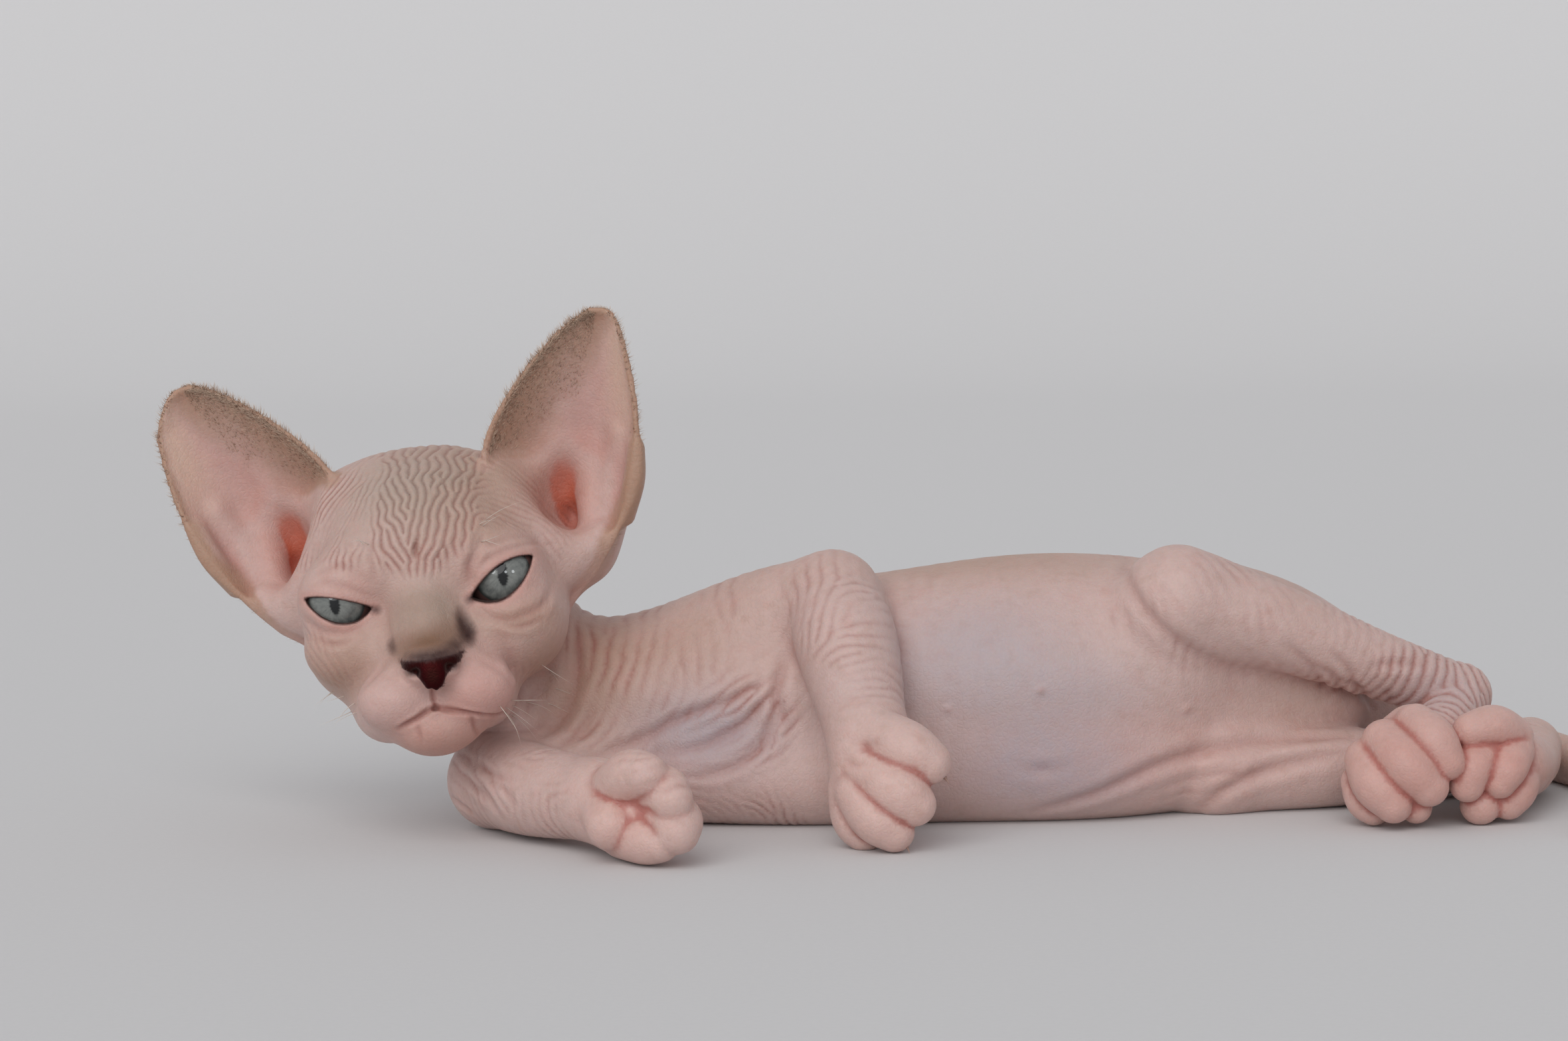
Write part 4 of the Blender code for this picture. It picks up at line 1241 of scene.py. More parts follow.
FOLDS = {
    "mouth_left": Fold(((556, 903), (570, 905), (595, 909), (624, 912), (646, 909)), 0.62, 0.85, 1.0),
    "mouth_right": Fold(((556, 903), (546, 907), (531, 917), (518, 924), (508, 930)), 0.62, 0.85, 1.0),
    "cleft": Fold(((551, 880), (553, 892), (556, 904)), 0.5, 0.5, 1.0),
    "chin_left": Fold(((601, 912), (607, 930), (612, 948)), 0.7, 0.55, 0.6),
    "chin_right": Fold(((533, 924), (535, 937), (538, 950)), 0.7, 0.45, 0.5),
    "glabella": Fold(((531, 690), (530, 702), (529, 714)), 0.8, 0.8, 0.8),
    "frown_left": Fold(((604, 706), (598, 724), (600, 745)), 1.0, 0.7, 0.6),
    "frown_left_out": Fold(((618, 680), (608, 700), (604, 722)), 0.9, 0.4, 0.3),
    "frown_right": Fold(((472, 690), (474, 716), (478, 742)), 0.9, 0.45, 0.4),
    "ridge_left": Fold(((594, 664), (574, 682), (552, 702), (542, 722)), 2.2, -0.5, 0.0),
    "ridge_left_out": Fold(((602, 672), (590, 700), (582, 726)), 1.6, -0.35, 0.0),
    "ridge_right": Fold(((466, 684), (474, 706), (480, 726), (487, 748)), 1.8, -0.45, 0.0),
    "ridge_right_in": Fold(((500, 700), (512, 716), (522, 732)), 1.6, -0.3, 0.0),
    "muzzle_top_left": Fold(((600, 836), (622, 846), (644, 862), (656, 884)), 1.2, 0.3, 0.15),
    "throat": Fold(((736, 806), (738, 840), (734, 874), (722, 908), (702, 932), (672, 945)), 1.7, 0.85, 0.45),
    "throat_low": Fold(((760, 905), (738, 938), (700, 955), (650, 962)), 1.4, 0.5, 0.3),
    "lid_left": Fold(((600, 745), (612, 722), (640, 703), (676, 693), (704, 696)), 0.8, 0.35, 0.3),
    "lid_right": Fold(((476, 762), (452, 752), (424, 744), (402, 744)), 0.8, 0.25, 0.25),
    "nipple": Fold(((1323, 881), (1328, 881), (1333, 881)), 1.0, -0.5, 0.35),
    "nipple_2": Fold(((1509, 904), (1514, 904), (1519, 904)), 1.0, -0.5, 0.35),
    "nipple_3": Fold(((1205, 905), (1209, 905), (1213, 905)), 0.9, -0.4, 0.3),
    "navel": Fold(((1322, 984), (1330, 981), (1338, 984)), 1.4, 0.4, 0.25),
    "wrist_fold": Fold(((1082, 944), (1100, 952), (1124, 946)), 1.0, 0.35, 0.3),
    "wrist_fold_2": Fold(((1076, 966), (1090, 976), (1102, 974)), 0.9, 0.3, 0.3),
    "elbow_fold_3": Fold(((560, 1000), (580, 1020), (606, 1040)), 0.9, 0.45, 0.4),
    "elbow_fold_4": Fold(((620, 990), (646, 1010), (660, 1030)), 0.9, 0.4, 0.3),
    "shank_fold": Fold(((1640, 820), (1672, 850), (1690, 880)), 1.2, 0.5, 0.35),
    "shank_fold_2": Fold(((1700, 832), (1722, 856), (1730, 882)), 1.0, 0.5, 0.35),
    "hock_fold_3": Fold(((1750, 850), (1790, 846), (1820, 850)), 1.2, 0.5, 0.3),
    "hock_fold_4": Fold(((1768, 880), (1780, 905), (1800, 925)), 1.0, 0.45, 0.3),
    "brow_crease_left": Fold(((612, 700), (634, 690), (662, 684), (690, 690)), 1.0, 0.3, 0.2),
    "brow_crease_right": Fold(((402, 734), (420, 724), (440, 722), (466, 742)), 1.0, 0.35, 0.25),
    "bag_left": Fold(((604, 772), (628, 788), (660, 788), (692, 772), (705, 748)), 1.1, 0.6, 0.4),
    "bag_left_low": Fold(((640, 797), (668, 798), (694, 787)), 0.9, 0.5, 0.5),
    "bag_right": Fold(((388, 786), (408, 804), (440, 808), (466, 796)), 1.0, 0.5, 0.35),
    "bag_right_low": Fold(((400, 812), (424, 821), (452, 816)), 0.9, 0.45, 0.45),
    "cheek_left": Fold(((632, 800), (648, 838), (655, 876)), 1.4, 0.35, 0.15),
    "muzzle_top_right": Fold(((500, 838), (478, 862), (460, 880)), 1.3, 0.5, 0.2),
    "bridge_left": Fold(((592, 768), (590, 790), (598, 812)), 1.2, 0.5, 0.3),
    "bridge_right": Fold(((492, 776), (494, 800), (502, 826)), 1.1, 0.4, 0.25),
    "jaw": Fold(((672, 905), (690, 880), (706, 845)), 1.2, 0.5, 0.3),
    "brisket": Fold(((985, 866), (930, 893), (870, 916), (812, 945), (760, 962), (700, 972)), 1.3, 0.8, 0.5),
    "brisket_low": Fold(((986, 884), (948, 925), (900, 950), (840, 962)), 1.2, 0.7, 0.45),
    "brisket_lowest": Fold(((992, 905), (972, 950), (925, 982), (860, 992), (800, 985)), 1.3, 0.8, 0.5),
    "armpit": Fold(((1002, 838), (994, 866), (990, 895), (1006, 930)), 1.5, 1.0, 0.6),
    "elbow_fold": Fold(((578, 985), (600, 1000), (622, 1018), (640, 1044)), 1.1, 0.6, 0.4),
    "elbow_fold_2": Fold(((600, 968), (624, 984), (650, 996)), 1.0, 0.5, 0.4),
    "belly_sweep": Fold(((1320, 1035), (1400, 1012), (1500, 968), (1600, 945), (1720, 938)), 1.6, 1.0, 0.45),
    "belly_sweep_low": Fold(((1510, 1052), (1560, 1010), (1640, 976), (1730, 958)), 1.6, 0.9, 0.4),
    "flank_fold": Fold(((1436, 712), (1440, 745), (1470, 790), (1520, 830), (1590, 860)), 1.7, 0.8, 0.35),
    "hock_fold": Fold(((1712, 868), (1735, 880), (1752, 905)), 1.1, 0.7, 0.4),
    "hock_fold_2": Fold(((1680, 850), (1700, 862), (1716, 884)), 1.0, 0.5, 0.3),
    "navel_fold": Fold(((1290, 975), (1330, 985), (1380, 970)), 1.6, 0.25, 0.1),
}


@dataclass(frozen=True)
class Spot:
    """A soft patch of a marking: its middle, radii, strength and frame, all in mm."""

    middle: Point
    radii: Point
    strength: float = 1.0
    frame: Place = MODEL

    def on(self, points: np.ndarray) -> np.ndarray:
        """How strong it is at each point."""
        local = (self.frame.into(points) - self.middle) / self.radii
        return self.strength * np.exp(-1.4 * (local**2).sum(1) ** 1.2)


MARKINGS: dict[str, tuple[Spot, ...]] = {
    # Paws, whose skin is paler, partly as painted light, and whose creases get a redder painted shade.
    "paw": (
        Spot((25, -54, 12), (16, 14, 16)), Spot((-32, -62, 12), (17, 16, 16)),
        Spot((141, -38, 12), (17, 15, 16)), Spot((161, -35, 12), (16, 15, 16)),
    ),
    # Tan of the coat on crown, cheeks, back and outer sides.
    "tan": (
        Spot((13, 6, 24), (20, 26, 13), 0.8, SKULL), Spot((4, 26, 26), (24, 26, 16), 0.9, SKULL),
        Spot((4, 0, 2), (36, 30, 26), 0.42, FACE), Spot((20, -6, -9.5), (11, 10, 5), 0.95, FACE),
        Spot((0, -14, -9), (10, 14, 11), 0.7, FACE), Spot((-20, 0, -15), (12, 17, 10), 1.0, FACE),
        Spot((-18, -4, -9), (10, 9, 4), 0.5, FACE), Spot((0, -14, -34), (12, 12, 8), 0.75, FACE),
        Spot((24, 0, -19), (9, 16, 11), 0.75, FACE), Spot((16, -2, 12), (10, 12, 6), 0.35, FACE),
        Spot((-45, -4, 33), (17, 24, 17), 1.0), Spot((-50, -4, 22), (14, 14, 8), 0.7),
        Spot((-22, -8, 40), (26, 22, 14), 0.5), Spot((-4, -8, 46), (15, 14, 16), 0.35),
        Spot((40, 6, 60), (56, 26, 10), 0.8), Spot((108, 0, 52), (26, 24, 12), 0.4),
        Spot((20, 34, 28), (90, 20, 26), 0.8), Spot((120, 40, 24), (44, 22, 24), 0.7),
        Spot((118, -10, 26), (24, 10, 10), 0.35), Spot((182, 10, 8), (22, 40, 10), 0.6),
    ),
    # Blood showing through: paws, muzzle, lids and belly.
    "blush": (
        Spot((26, -56, 8), (14, 11, 13), 0.2), Spot((-34, -64, 7), (15, 15, 10), 0.3),
        Spot((141, -42, 14), (18, 18, 18), 0.95), Spot((163, -40, 12), (17, 18, 17), 0.9),
        Spot((10, -16, -24), (12, 12, 10), 1.0, FACE), Spot((-9, -16, -24), (12, 12, 10), 0.5, FACE),
        Spot((0, -14, -33), (13, 12, 8), 1.0, FACE),
        Spot((18.6, -8, 0), (12, 8, 8), 0.6, FACE), Spot((-18.6, -8, 0), (12, 8, 8), 0.6, FACE),
        Spot((75, -26, 16), (46, 14, 14), 0.4), Spot((-20, -20, 14), (24, 12, 10), 0.3),
    ),
    # Bluish grey where the skin is thin.
    "blue": (
        Spot((58, -30, 15), (21, 14, 12), 0.9), Spot((44, -28, 38), (26, 16, 19), 0.6),
        Spot((66, -28, 30), (20, 14, 12), 0.45), Spot((-18, -20, 21), (20, 14, 12), 0.85),
        Spot((17, -34, 33), (9, 14, 9), 0.35), Spot((71, -30, 13), (16, 12, 9), 0.4),
        Spot((152, -14, 26), (14, 12, 10), 0.35),
    ),
    # Brown-black patches beside the nose, and painted shade along its upper edge and in its nostrils. The lids'
    # rims are added.
    "dark": (
        Spot((8.6, -16, -8.2), (2.3, 16, 4.6), 0.85, FACE), Spot((9.8, -16, -11), (2.2, 16, 2.8), 0.85, FACE),
        Spot((-8, -16, -10.8), (1.6, 16, 2.6), 0.65, FACE),
        Spot((0.8, -23, -13.6), (8.8, 9, 2.1), 0.95, FACE),
        Spot((6.4, -20, -12.4), (3.2, 9, 2.2), 0.6, FACE), Spot((0.7, -25, -17.6), (2.4, 6, 3.2), 0.85, FACE),
        Spot((5.4, -24, -16.6), (2.6, 6, 1.6), 0.8, FACE), Spot((-3.8, -24, -16.6), (2.6, 6, 1.6), 0.8, FACE),
    ),
    # Brown fading out above the nose.
    "brown": (
        Spot((0.7, -12, -4), (8, 9, 6), 0.35, FACE), Spot((0.7, -21, -10.6), (8.2, 8, 4.2), 1.0, FACE),
        Spot((7.4, -18, -9.4), (5, 9, 4.6), 0.7, FACE), Spot((-6.0, -18, -11.6), (4, 9, 3.6), 0.6, FACE),
        Spot((0, -14, -33), (10, 12, 5), 0.2, FACE),
    ),
    # Red-orange depth of the ears.
    "canal": (
        Spot((33, 20, 15.5), (8.4, 14, 10.5), 0.9, SKULL), Spot((-33, 20, 15.5), (8.4, 14, 10.5), 0.9, SKULL),
        Spot((35, 22, 20), (10, 12, 12), 0.5, SKULL), Spot((-35, 22, 20), (10, 12, 12), 0.5, SKULL),
    ),
}


# Where creases don't show: under the jaw and on the toes.
TOES = ((26, -57, 12), (-34, -68, 18), (-32, -66, 8), (141, -42, 13), (161, -38, 13))
CALM = (Spot((-58, -14, 34), (11, 14, 12), 0.85), *(Spot(middle, (15, 13, 14)) for middle in TOES))


class Paint:
    """A shader value or colour, which Python's operators combine through nodes."""

    def __init__(self, sheet: Sheet, socket: bpy.types.NodeSocket | float | tuple[float, ...]) -> None:
        """Wraps a socket, a number or a colour."""
        self.sheet = sheet
        self.socket = socket

    def _math(self, operation: str, first: object, second: object) -> Paint:
        """A Math node's result."""
        return self.sheet.add("Math", {"operation": operation}, {0: first, 1: second})

    def __add__(self, other: object) -> Paint:
        """The sum."""
        return self._math("ADD", self, other)

    __radd__ = __add__

    def __mul__(self, other: object) -> Paint:
        """The product."""
        return self._math("MULTIPLY", self, other)

    __rmul__ = __mul__

    def __sub__(self, other: object) -> Paint:
        """The difference."""
        return self._math("SUBTRACT", self, other)

    def __rsub__(self, other: object) -> Paint:
        """The difference from a number."""
        return self._math("SUBTRACT", other, self)

    def clip(self, low: float, high: float) -> Paint:
        """The value as a share of the way from low to high, from 0 to 1."""
        inputs = {"Value": self, "From Min": low, "From Max": high, "To Min": 0.0, "To Max": 1.0}
        return self.sheet.add("MapRange", {"clamp": True}, inputs)

    def towards(self, colour: object, share: object, blend: str = "MIX") -> Paint:
        """This colour mixed with another by a share."""
        return self.sheet.mix(self, colour, share, blend)


class Sheet:
    """The nodes of one material."""

    def __init__(self, name: str) -> None:
        """Starts a material with a shader on its output.

        Args:
            name: The material's name.
        """
        self.material = bpy.data.materials.new(name)
        self.material.use_nodes = True
        self.tree = self.material.node_tree
        self.shader = self.tree.nodes["Principled BSDF"]

    def plug(self, socket: bpy.types.NodeSocket, value: object) -> None:
        """Links or sets a socket.

        Args:
            socket: The socket.
            value: What goes in.
        """
        if isinstance(value, Paint):
            value = value.socket
        if isinstance(value, bpy.types.NodeSocket):
            self.tree.links.new(value, socket)
        elif isinstance(value, tuple) and len(value) == 3 and socket.type == "RGBA":
            socket.default_value = (*value, 1.0)
        else:
            socket.default_value = value

    def add(
        self, kind: str, settings: dict | None = None, inputs: dict | None = None, output: object = 0,
    ) -> Paint:
        """Adds a node.

        Args:
            kind: Its type without the word ShaderNode.
            settings: Its properties.
            inputs: Values or links of its sockets, by name or number.
            output: Which of its outputs is returned, by name or number.

        Returns:
            The output.
        """
        node = self.tree.nodes.new("ShaderNode" + kind)
        for name, value in (settings or {}).items():
            setattr(node, name, value)
        for name, value in (inputs or {}).items():
            self.plug(node.inputs[name], value)
        return Paint(self, node.outputs[output])

    def mix(self, first: object, second: object, share: object, blend: str = "MIX") -> Paint:
        """Mixes two colours.

        Args:
            first: The colour at a share of 0.
            second: The colour at 1.
            share: The share.
            blend: Blender's name for how.

        Returns:
            The mixed colour.
        """
        made = self.add("Mix", {"data_type": "RGBA", "blend_type": blend, "clamp_factor": True})
        node = self.tree.nodes[-1]
        self.plug(node.inputs[0], share)
        self.plug(node.inputs[6], first)
        self.plug(node.inputs[7], second)
        made.socket = node.outputs[2]
        return made

    def attribute(self, name: str) -> Paint:
        """A number that the mesh's corners carry."""
        return self.add("Attribute", {"attribute_name": name}, output="Fac")

    @property
    def place(self) -> Paint:
        """The place on the object, in metres."""
        return self.add("TexCoord", output="Object")

    def noise(self, scale: float, detail: float = 3.0, roughness: float = 0.55) -> Paint:
        """Noise over the object, with its scale in repeats per metre."""
        inputs = {"Vector": self.place, "Scale": scale, "Detail": detail, "Roughness": roughness}
        return self.add("TexNoise", {}, inputs)

    def bump(self, height: Paint, strength: float, distance: float) -> Paint:
        """A normal that is bumped by a height in shares of the distance."""
        return self.add("Bump", {}, {"Height": height, "Strength": strength, "Distance": distance})

    def finish(self, **sockets: object) -> bpy.types.Material:
        """Sets the shader's sockets, whose names are given with _ for a space.

        Returns:
            The material.
        """
        for name, value in sockets.items():
            self.plug(self.shader.inputs[name.replace("_", " ")], value)
        return self.material


@dataclass(frozen=True)
class SkinFinish:
    """Bare, warm skin with a trace of down."""

    pink: Colour = (0.60, 0.43, 0.395)
    tan: Colour = (0.40, 0.245, 0.175)
    grey: Colour = (0.44, 0.365, 0.31)
    brown: Colour = (0.22, 0.12, 0.075)
    blush: Colour = (0.55, 0.29, 0.25)
    blue: Colour = (0.375, 0.345, 0.385)
    # These colours are painted shade in creases, folds and hollows, reddened by blood, on the body, the crown
    # and the toes.
    fold_shade_and_tint: Colour = (0.33, 0.12, 0.095)
    crown_crease_shade: Colour = (0.26, 0.165, 0.13)
    # Paler toe colour: partly the paws' own, partly painted light on them.
    toe: Colour = (0.80, 0.52, 0.45)
    toe_crease_shade_and_tint: Colour = (0.42, 0.085, 0.065)
    dark: Colour = (0.035, 0.010, 0.008)
    canal: Colour = (0.50, 0.08, 0.022)
    ear_tan: Colour = (0.42, 0.26, 0.185)
    # Painted light: the paler colour where light would shine through the inside of an ear.
    ear_painted_light: Colour = (0.70, 0.52, 0.41)
    leather: Colour = (0.034, 0.001, 0.003)

    def material(self) -> bpy.types.Material:
        """Builds the material.

        Returns:
            The skin's finish.
        """
        sheet = Sheet("bare_skin")
        mottle = sheet.noise(90.0, 4.0)
        speck = sheet.noise(1400.0, 2.0)
        fine = sheet.noise(420.0, 3.0, 0.6)
        blotch = sheet.noise(240.0, 3.0, 0.6)
        mark = sheet.attribute
        colour = sheet.mix(self.pink, self.tan, (mark("tan") * 0.9 + (mottle - 0.5) * 0.35).clip(0.0, 1.0))
        # Paler paws: partly their own colour, partly painted light.
        colour = colour.towards(self.toe, mark("paw") * 0.6)
        colour = colour.towards(self.blush, blotch.clip(0.52, 0.74) * 0.28)
        colour = colour.towards(self.tan, sheet.noise(330.0, 2.0).clip(0.54, 0.78) * 0.22)
        colour = colour.towards(self.grey, mark("crown") * (mottle.clip(0.25, 0.7) * 0.4 + 0.45))
        colour = colour.towards(self.blue, (mark("blue") * (fine.clip(0.2, 0.8) * 0.5 + 0.72)).clip(0.0, 1.0))
        colour = colour.towards(self.blush, (mark("blush") * (mottle + 0.35)).clip(0.0, 1.0))
        colour = colour.towards(self.ear_tan, mark("ear_back"))
        # Painted light on the inside of each ear.
        colour = colour.towards(self.ear_painted_light, mark("ear_painted_light") * 0.7)
        colour = colour.towards(self.canal, mark("canal"))
        # Painted shade, reddened by blood, in creases, folds and hollows.
        fold_shade_and_tint = sheet.mix(self.fold_shade_and_tint, self.crown_crease_shade, mark("crown"))
        fold_shade_and_tint = fold_shade_and_tint.towards(self.toe_crease_shade_and_tint, mark("paw"))
        colour = colour.towards(fold_shade_and_tint, mark("groove") * 0.74)
        colour = colour.towards(self.brown, mark("brown"))
        leather = mark("leather")
        colour = colour.towards(self.leather, leather.clip(0.0, 0.5))
        # Dark patches and lid rims, with painted shade along the nose's upper edge and in its nostrils.
        colour = colour.towards(self.dark, (mark("dark") * 1.35 - blotch * 0.5).clip(0.0, 1.0))
        shade = (speck - 0.5) * 0.10 + (fine - 0.5) * 0.16 + 1.0
        shades = sheet.add("CombineColor", {}, {0: shade, 1: shade, 2: shade})
        inputs = {"Vector": sheet.place, "Scale": 900.0, "Randomness": 1.0}
        cells = sheet.add("TexVoronoi", {"feature": "DISTANCE_TO_EDGE"}, inputs)
        relief = cells.clip(0.0, 0.22) * 0.5 + fine * 0.9 + speck * 0.35
        return sheet.finish(
            Base_Color=colour.towards(shades, 1.0, "MULTIPLY"),
            Roughness=(speck * 0.1 + 0.46) * (leather * 0.1 + 1.0),
            Metallic=leather.clip(0.55, 1.0),
            Normal=sheet.bump(relief, 0.32, 0.00025),
            Subsurface_Weight=0.22,
            Subsurface_Radius=(1.0, 0.36, 0.2),
            Subsurface_Scale=0.0032,
            Specular_IOR_Level=0.3,
            Sheen_Weight=0.05,
            Sheen_Roughness=0.5,
            Sheen_Tint=(1.0, 0.9, 0.82, 1.0),
        )


@dataclass(frozen=True)
class EyeFinish:
    """A grey-blue iris with an upright slit, seen through a wet surface."""

    iris: Colour = (0.09, 0.10, 0.098)
    pale: Colour = (0.225, 0.235, 0.22)
    rim: Colour = (0.02, 0.022, 0.022)
    white: Colour = (0.10, 0.05, 0.045)
    pupil: Colour = (0.004, 0.005, 0.006)

    def material(self) -> bpy.types.Material:
        """Builds the material.

        Returns:
            The eyes' finish.
        """
        sheet = Sheet("wet_eye")
        radius = sheet.attribute("radius")
        angle = sheet.attribute("angle")
        spoke = sheet.add("CombineXYZ", {}, {0: angle * 9.0, 1: radius * 1.2})
        fibre = sheet.add("TexNoise", {}, {"Vector": spoke, "Scale": 3.2, "Detail": 5.0, "Roughness": 0.62})
        cloud = sheet.noise(420.0, 3.0)
        colour = sheet.mix(self.iris, self.pale, (fibre + cloud * 0.6).clip(0.5, 1.0))
        colour = colour.towards(self.pale, radius.clip(0.62, 0.2) * 0.35)
        colour = colour.towards(self.rim, radius.clip(0.84, 0.97) * 0.85)
        colour = colour.towards(self.white, radius.clip(0.99, 1.03))
        colour = colour.towards(self.pupil, sheet.attribute("slit"))
        return sheet.finish(
            Base_Color=colour, Roughness=0.3, Coat_Weight=0.75, Coat_Roughness=0.02, Specular_IOR_Level=0.12)


@dataclass(frozen=True)
class HairFinish:
    """Fine hair, darker at the root, whose tone varies from one to the next."""

    name: str
    root: Colour
    tip: Colour
    roughness: float = 0.45
    vary: float = 1.0

    def material(self) -> bpy.types.Material:
        """Builds the material.

        Returns:
            The hair's finish.
        """
        sheet = Sheet(self.name)
        along = sheet.attribute("along") * 0.5 + (sheet.attribute("tone") - 0.5) * self.vary + 0.3
        colour = sheet.mix(self.root, self.tip, along.clip(0.0, 1.0))
        return sheet.finish(Base_Color=colour, Roughness=self.roughness, Specular_IOR_Level=0.4)


@dataclass(frozen=True)
class HornFinish:
    """Claw horn, brown at the root and clearer at the tip."""

    root: Colour = (0.16, 0.07, 0.05)
    tip: Colour = (0.42, 0.27, 0.22)

    def material(self) -> bpy.types.Material:
        """Builds the material.

        Returns:
            The claws' finish.
        """
        sheet = Sheet("claw_horn")
        along = sheet.attribute("along") + (sheet.noise(900.0) - 0.5) * 0.5
        colour = sheet.mix(self.root, self.tip, along.clip(0.0, 1.0))
        return sheet.finish(Base_Color=colour, Roughness=0.3, Specular_IOR_Level=0.5)


def set_values(mesh: bpy.types.Mesh, name: str, values: np.ndarray) -> None:
    """Gives the mesh's corners a number each."""
    layer = mesh.attributes.new(name, "FLOAT", "POINT")
    layer.data.foreach_set("value", np.asarray(values, np.float32))


@dataclass
class Studio:
    """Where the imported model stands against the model's own frame, and what is put there."""

    shift: np.ndarray

    def place(self, points: np.ndarray) -> np.ndarray:
        """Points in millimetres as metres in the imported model."""
        return (np.asarray(points) + self.shift) * MM

    def add(self, name: str, mesh: bpy.types.Mesh, material: bpy.types.Material) -> bpy.types.Object:
        """Adds an object, smooth shaded.

        Args:
            name: Its name.
            mesh: Its mesh.
            material: Its finish.

        Returns:
            The object.
        """
        obj = bpy.data.objects.new(name, mesh)
        bpy.context.scene.collection.objects.link(obj)
        mesh.name = name
        mesh.materials.clear()
        mesh.materials.append(material)
        mesh.shade_smooth()
        return obj


@dataclass
class Skin:
    """The kitten's one skin, with folds, creases, lids and markings.

    Longest is how far the next place of a fold may lie. The fine part of the head is bounded by its reach
    from between the eyes, how far behind them it goes and half its width.
    """

    studio: Studio
    view: View
    longest: float = 12.0
    fine_reach: float = 40.0
    fine_behind: float = 14.0
    fine_half: float = 31.0

    def build(self) -> bpy.types.Object:
        """Builds the skin and dresses it.

        Returns:
            The skin.
        """
        draw = np.random.default_rng(SEED)
        self.shape = self.first_shape()
        self.shape.relax(2, 0.45)
        self.shape.refresh()
        self.shape.watch()
        log.info("skin: %d corners before thinning", len(self.shape.corners))
        height, groove = Creases(self.shape, self.view).heights(draw)
        drop, fold_shade_and_tint = self.folds()
        quiet = self.quiet_places()
        height, groove = height * quiet, groove * quiet
        marks = self.markings()
        # Painted shade, reddened by blood, in hollows, strongest on the paws; with the creases and folds it
        # makes one mask.
        hollow = self.shape.hollow(9, 0.22) * (0.4 + 1.7 * marks["paw"])
        marks["groove"] = np.clip(groove + fold_shade_and_tint + hollow, 0, 1)
        moved = self.shape.corners + self.shape.normals * (height - drop)[:, None]
        moved[:, 2] = np.maximum(moved[:, 2], FLOOR)
        flat = self.shape.corners[:, 2] < FLAT
        moved[flat] = self.shape.corners[flat]
        mesh = self.thinned(moved)
        self.carry(mesh, moved, marks)
        skin = self.studio.add("skin", mesh, SkinFinish().material())
        log.info("skin: %d triangles", sum(len(p.vertices) - 2 for p in mesh.polygons))
        return skin

    def first_shape(self) -> Shape:
        """Splits the flesh's surface finer on the head.

        Returns:
            The surface.
        """
        points, triangles, quads = KittenForm(self.view).surface()
        mesh = bpy.data.meshes.new("flesh")
        mesh.from_pydata(points, [], [*triangles.tolist(), *quads.tolist()])
        form = bmesh.new()
        form.from_mesh(mesh)
        away = points - FACE.out((0, -2, 6))
        ahead = unit(np.array((0.05, -0.86, 0.5)))
        split = ((away**2).sum(1) < self.fine_reach**2) & (away @ ahead > -self.fine_behind)
        split &= np.abs(FACE.into(points)[:, 0]) < self.fine_half
        fine = [edge for edge in form.edges if split[edge.verts[0].index]]
        bmesh.ops.subdivide_edges(form, edges=fine, cuts=1, use_grid_fill=True)
        bmesh.ops.triangulate(form, faces=[f for f in form.faces if len(f.verts) > 4])
        form.verts.ensure_lookup_table()
        corners = np.array([v.co for v in form.verts], float)
        polygons = [[v.index for v in f.verts] for f in form.faces]
        form.free()
        return Shape(corners, polygons)

    def folds(self) -> tuple[np.ndarray, np.ndarray]:
        """Cuts the single folds.

        Returns:
            How deep they cut each corner, and how much they darken the colour: painted shade in folds and
            hollows, the skin's own tint on the nipples.
        """
        count = len(self.shape.corners)
        drop, fold_shade_and_tint = np.zeros(count), np.zeros(count)
        for name, fold in FOLDS.items():
            found = []
            for spot in smooth_path(fold.points, 8):
                hit = self.shape.seen(self.view, *spot)
                if hit and (not found or np.linalg.norm(hit[0] - found[-1]) < self.longest):
                    found.append(hit[0])
            if len(found) < 3:
                log.warning("fold %s misses the skin", name)
                continue
            line = smooth_path(found, max(2, int(8 / fold.width)))
            away = np.full(count, FAR)
            share = np.zeros(count)
            for k, spot in enumerate(line):
                index, far = self.shape.near(spot, fold.width * 3.4)
                closer = far < away[index]
                away[index[closer]] = far[closer]
                share[index[closer]] = k / (len(line) - 1)
            near = away < FAR
            fade = np.zeros(count)
            fade[near] = np.sin(np.pi * np.clip(share[near], 0.02, 0.98)) ** 0.5
            if name.startswith(("mouth", "cleft")):
                fade[near] = np.maximum(fade[near], 1 - share[near]) ** 0.6
            cut = np.exp(-((away / fold.width) ** 2))
            swell = np.exp(-(((away - 2.0 * fold.width) / fold.width) ** 2))
            drop += fade * fold.depth * (cut - 0.32 * swell)
            # Painted shade along each fold, and the skin's own tint on the nipples.
            fold_shade_and_tint = np.maximum(fold_shade_and_tint, fade * fold.dark * np.exp(-((away / (fold.width * 0.8)) ** 2)))
        return drop, fold_shade_and_tint

    def quiet_places(self) -> np.ndarray:
        """Keeps creases off the lids, the nose and the toes.

        Returns:
            How much creases may show at each corner.
        """
        face = FACE.into(self.shape.corners)
        calm = np.ones(len(face))
        for almond in ALMONDS:
            away = almond.distance(almond.local(face))
            calm *= np.where(face[:, 1] < 6, ramp(away, 1.5, 5.0), 1)
        bridge = np.exp(-(((face[:, 0] / 8) ** 2 + ((face[:, 2] + 12) / 9) ** 2)))
        for spot in CALM:
            calm *= 1 - spot.on(self.shape.corners)
        return calm * (1 - bridge)

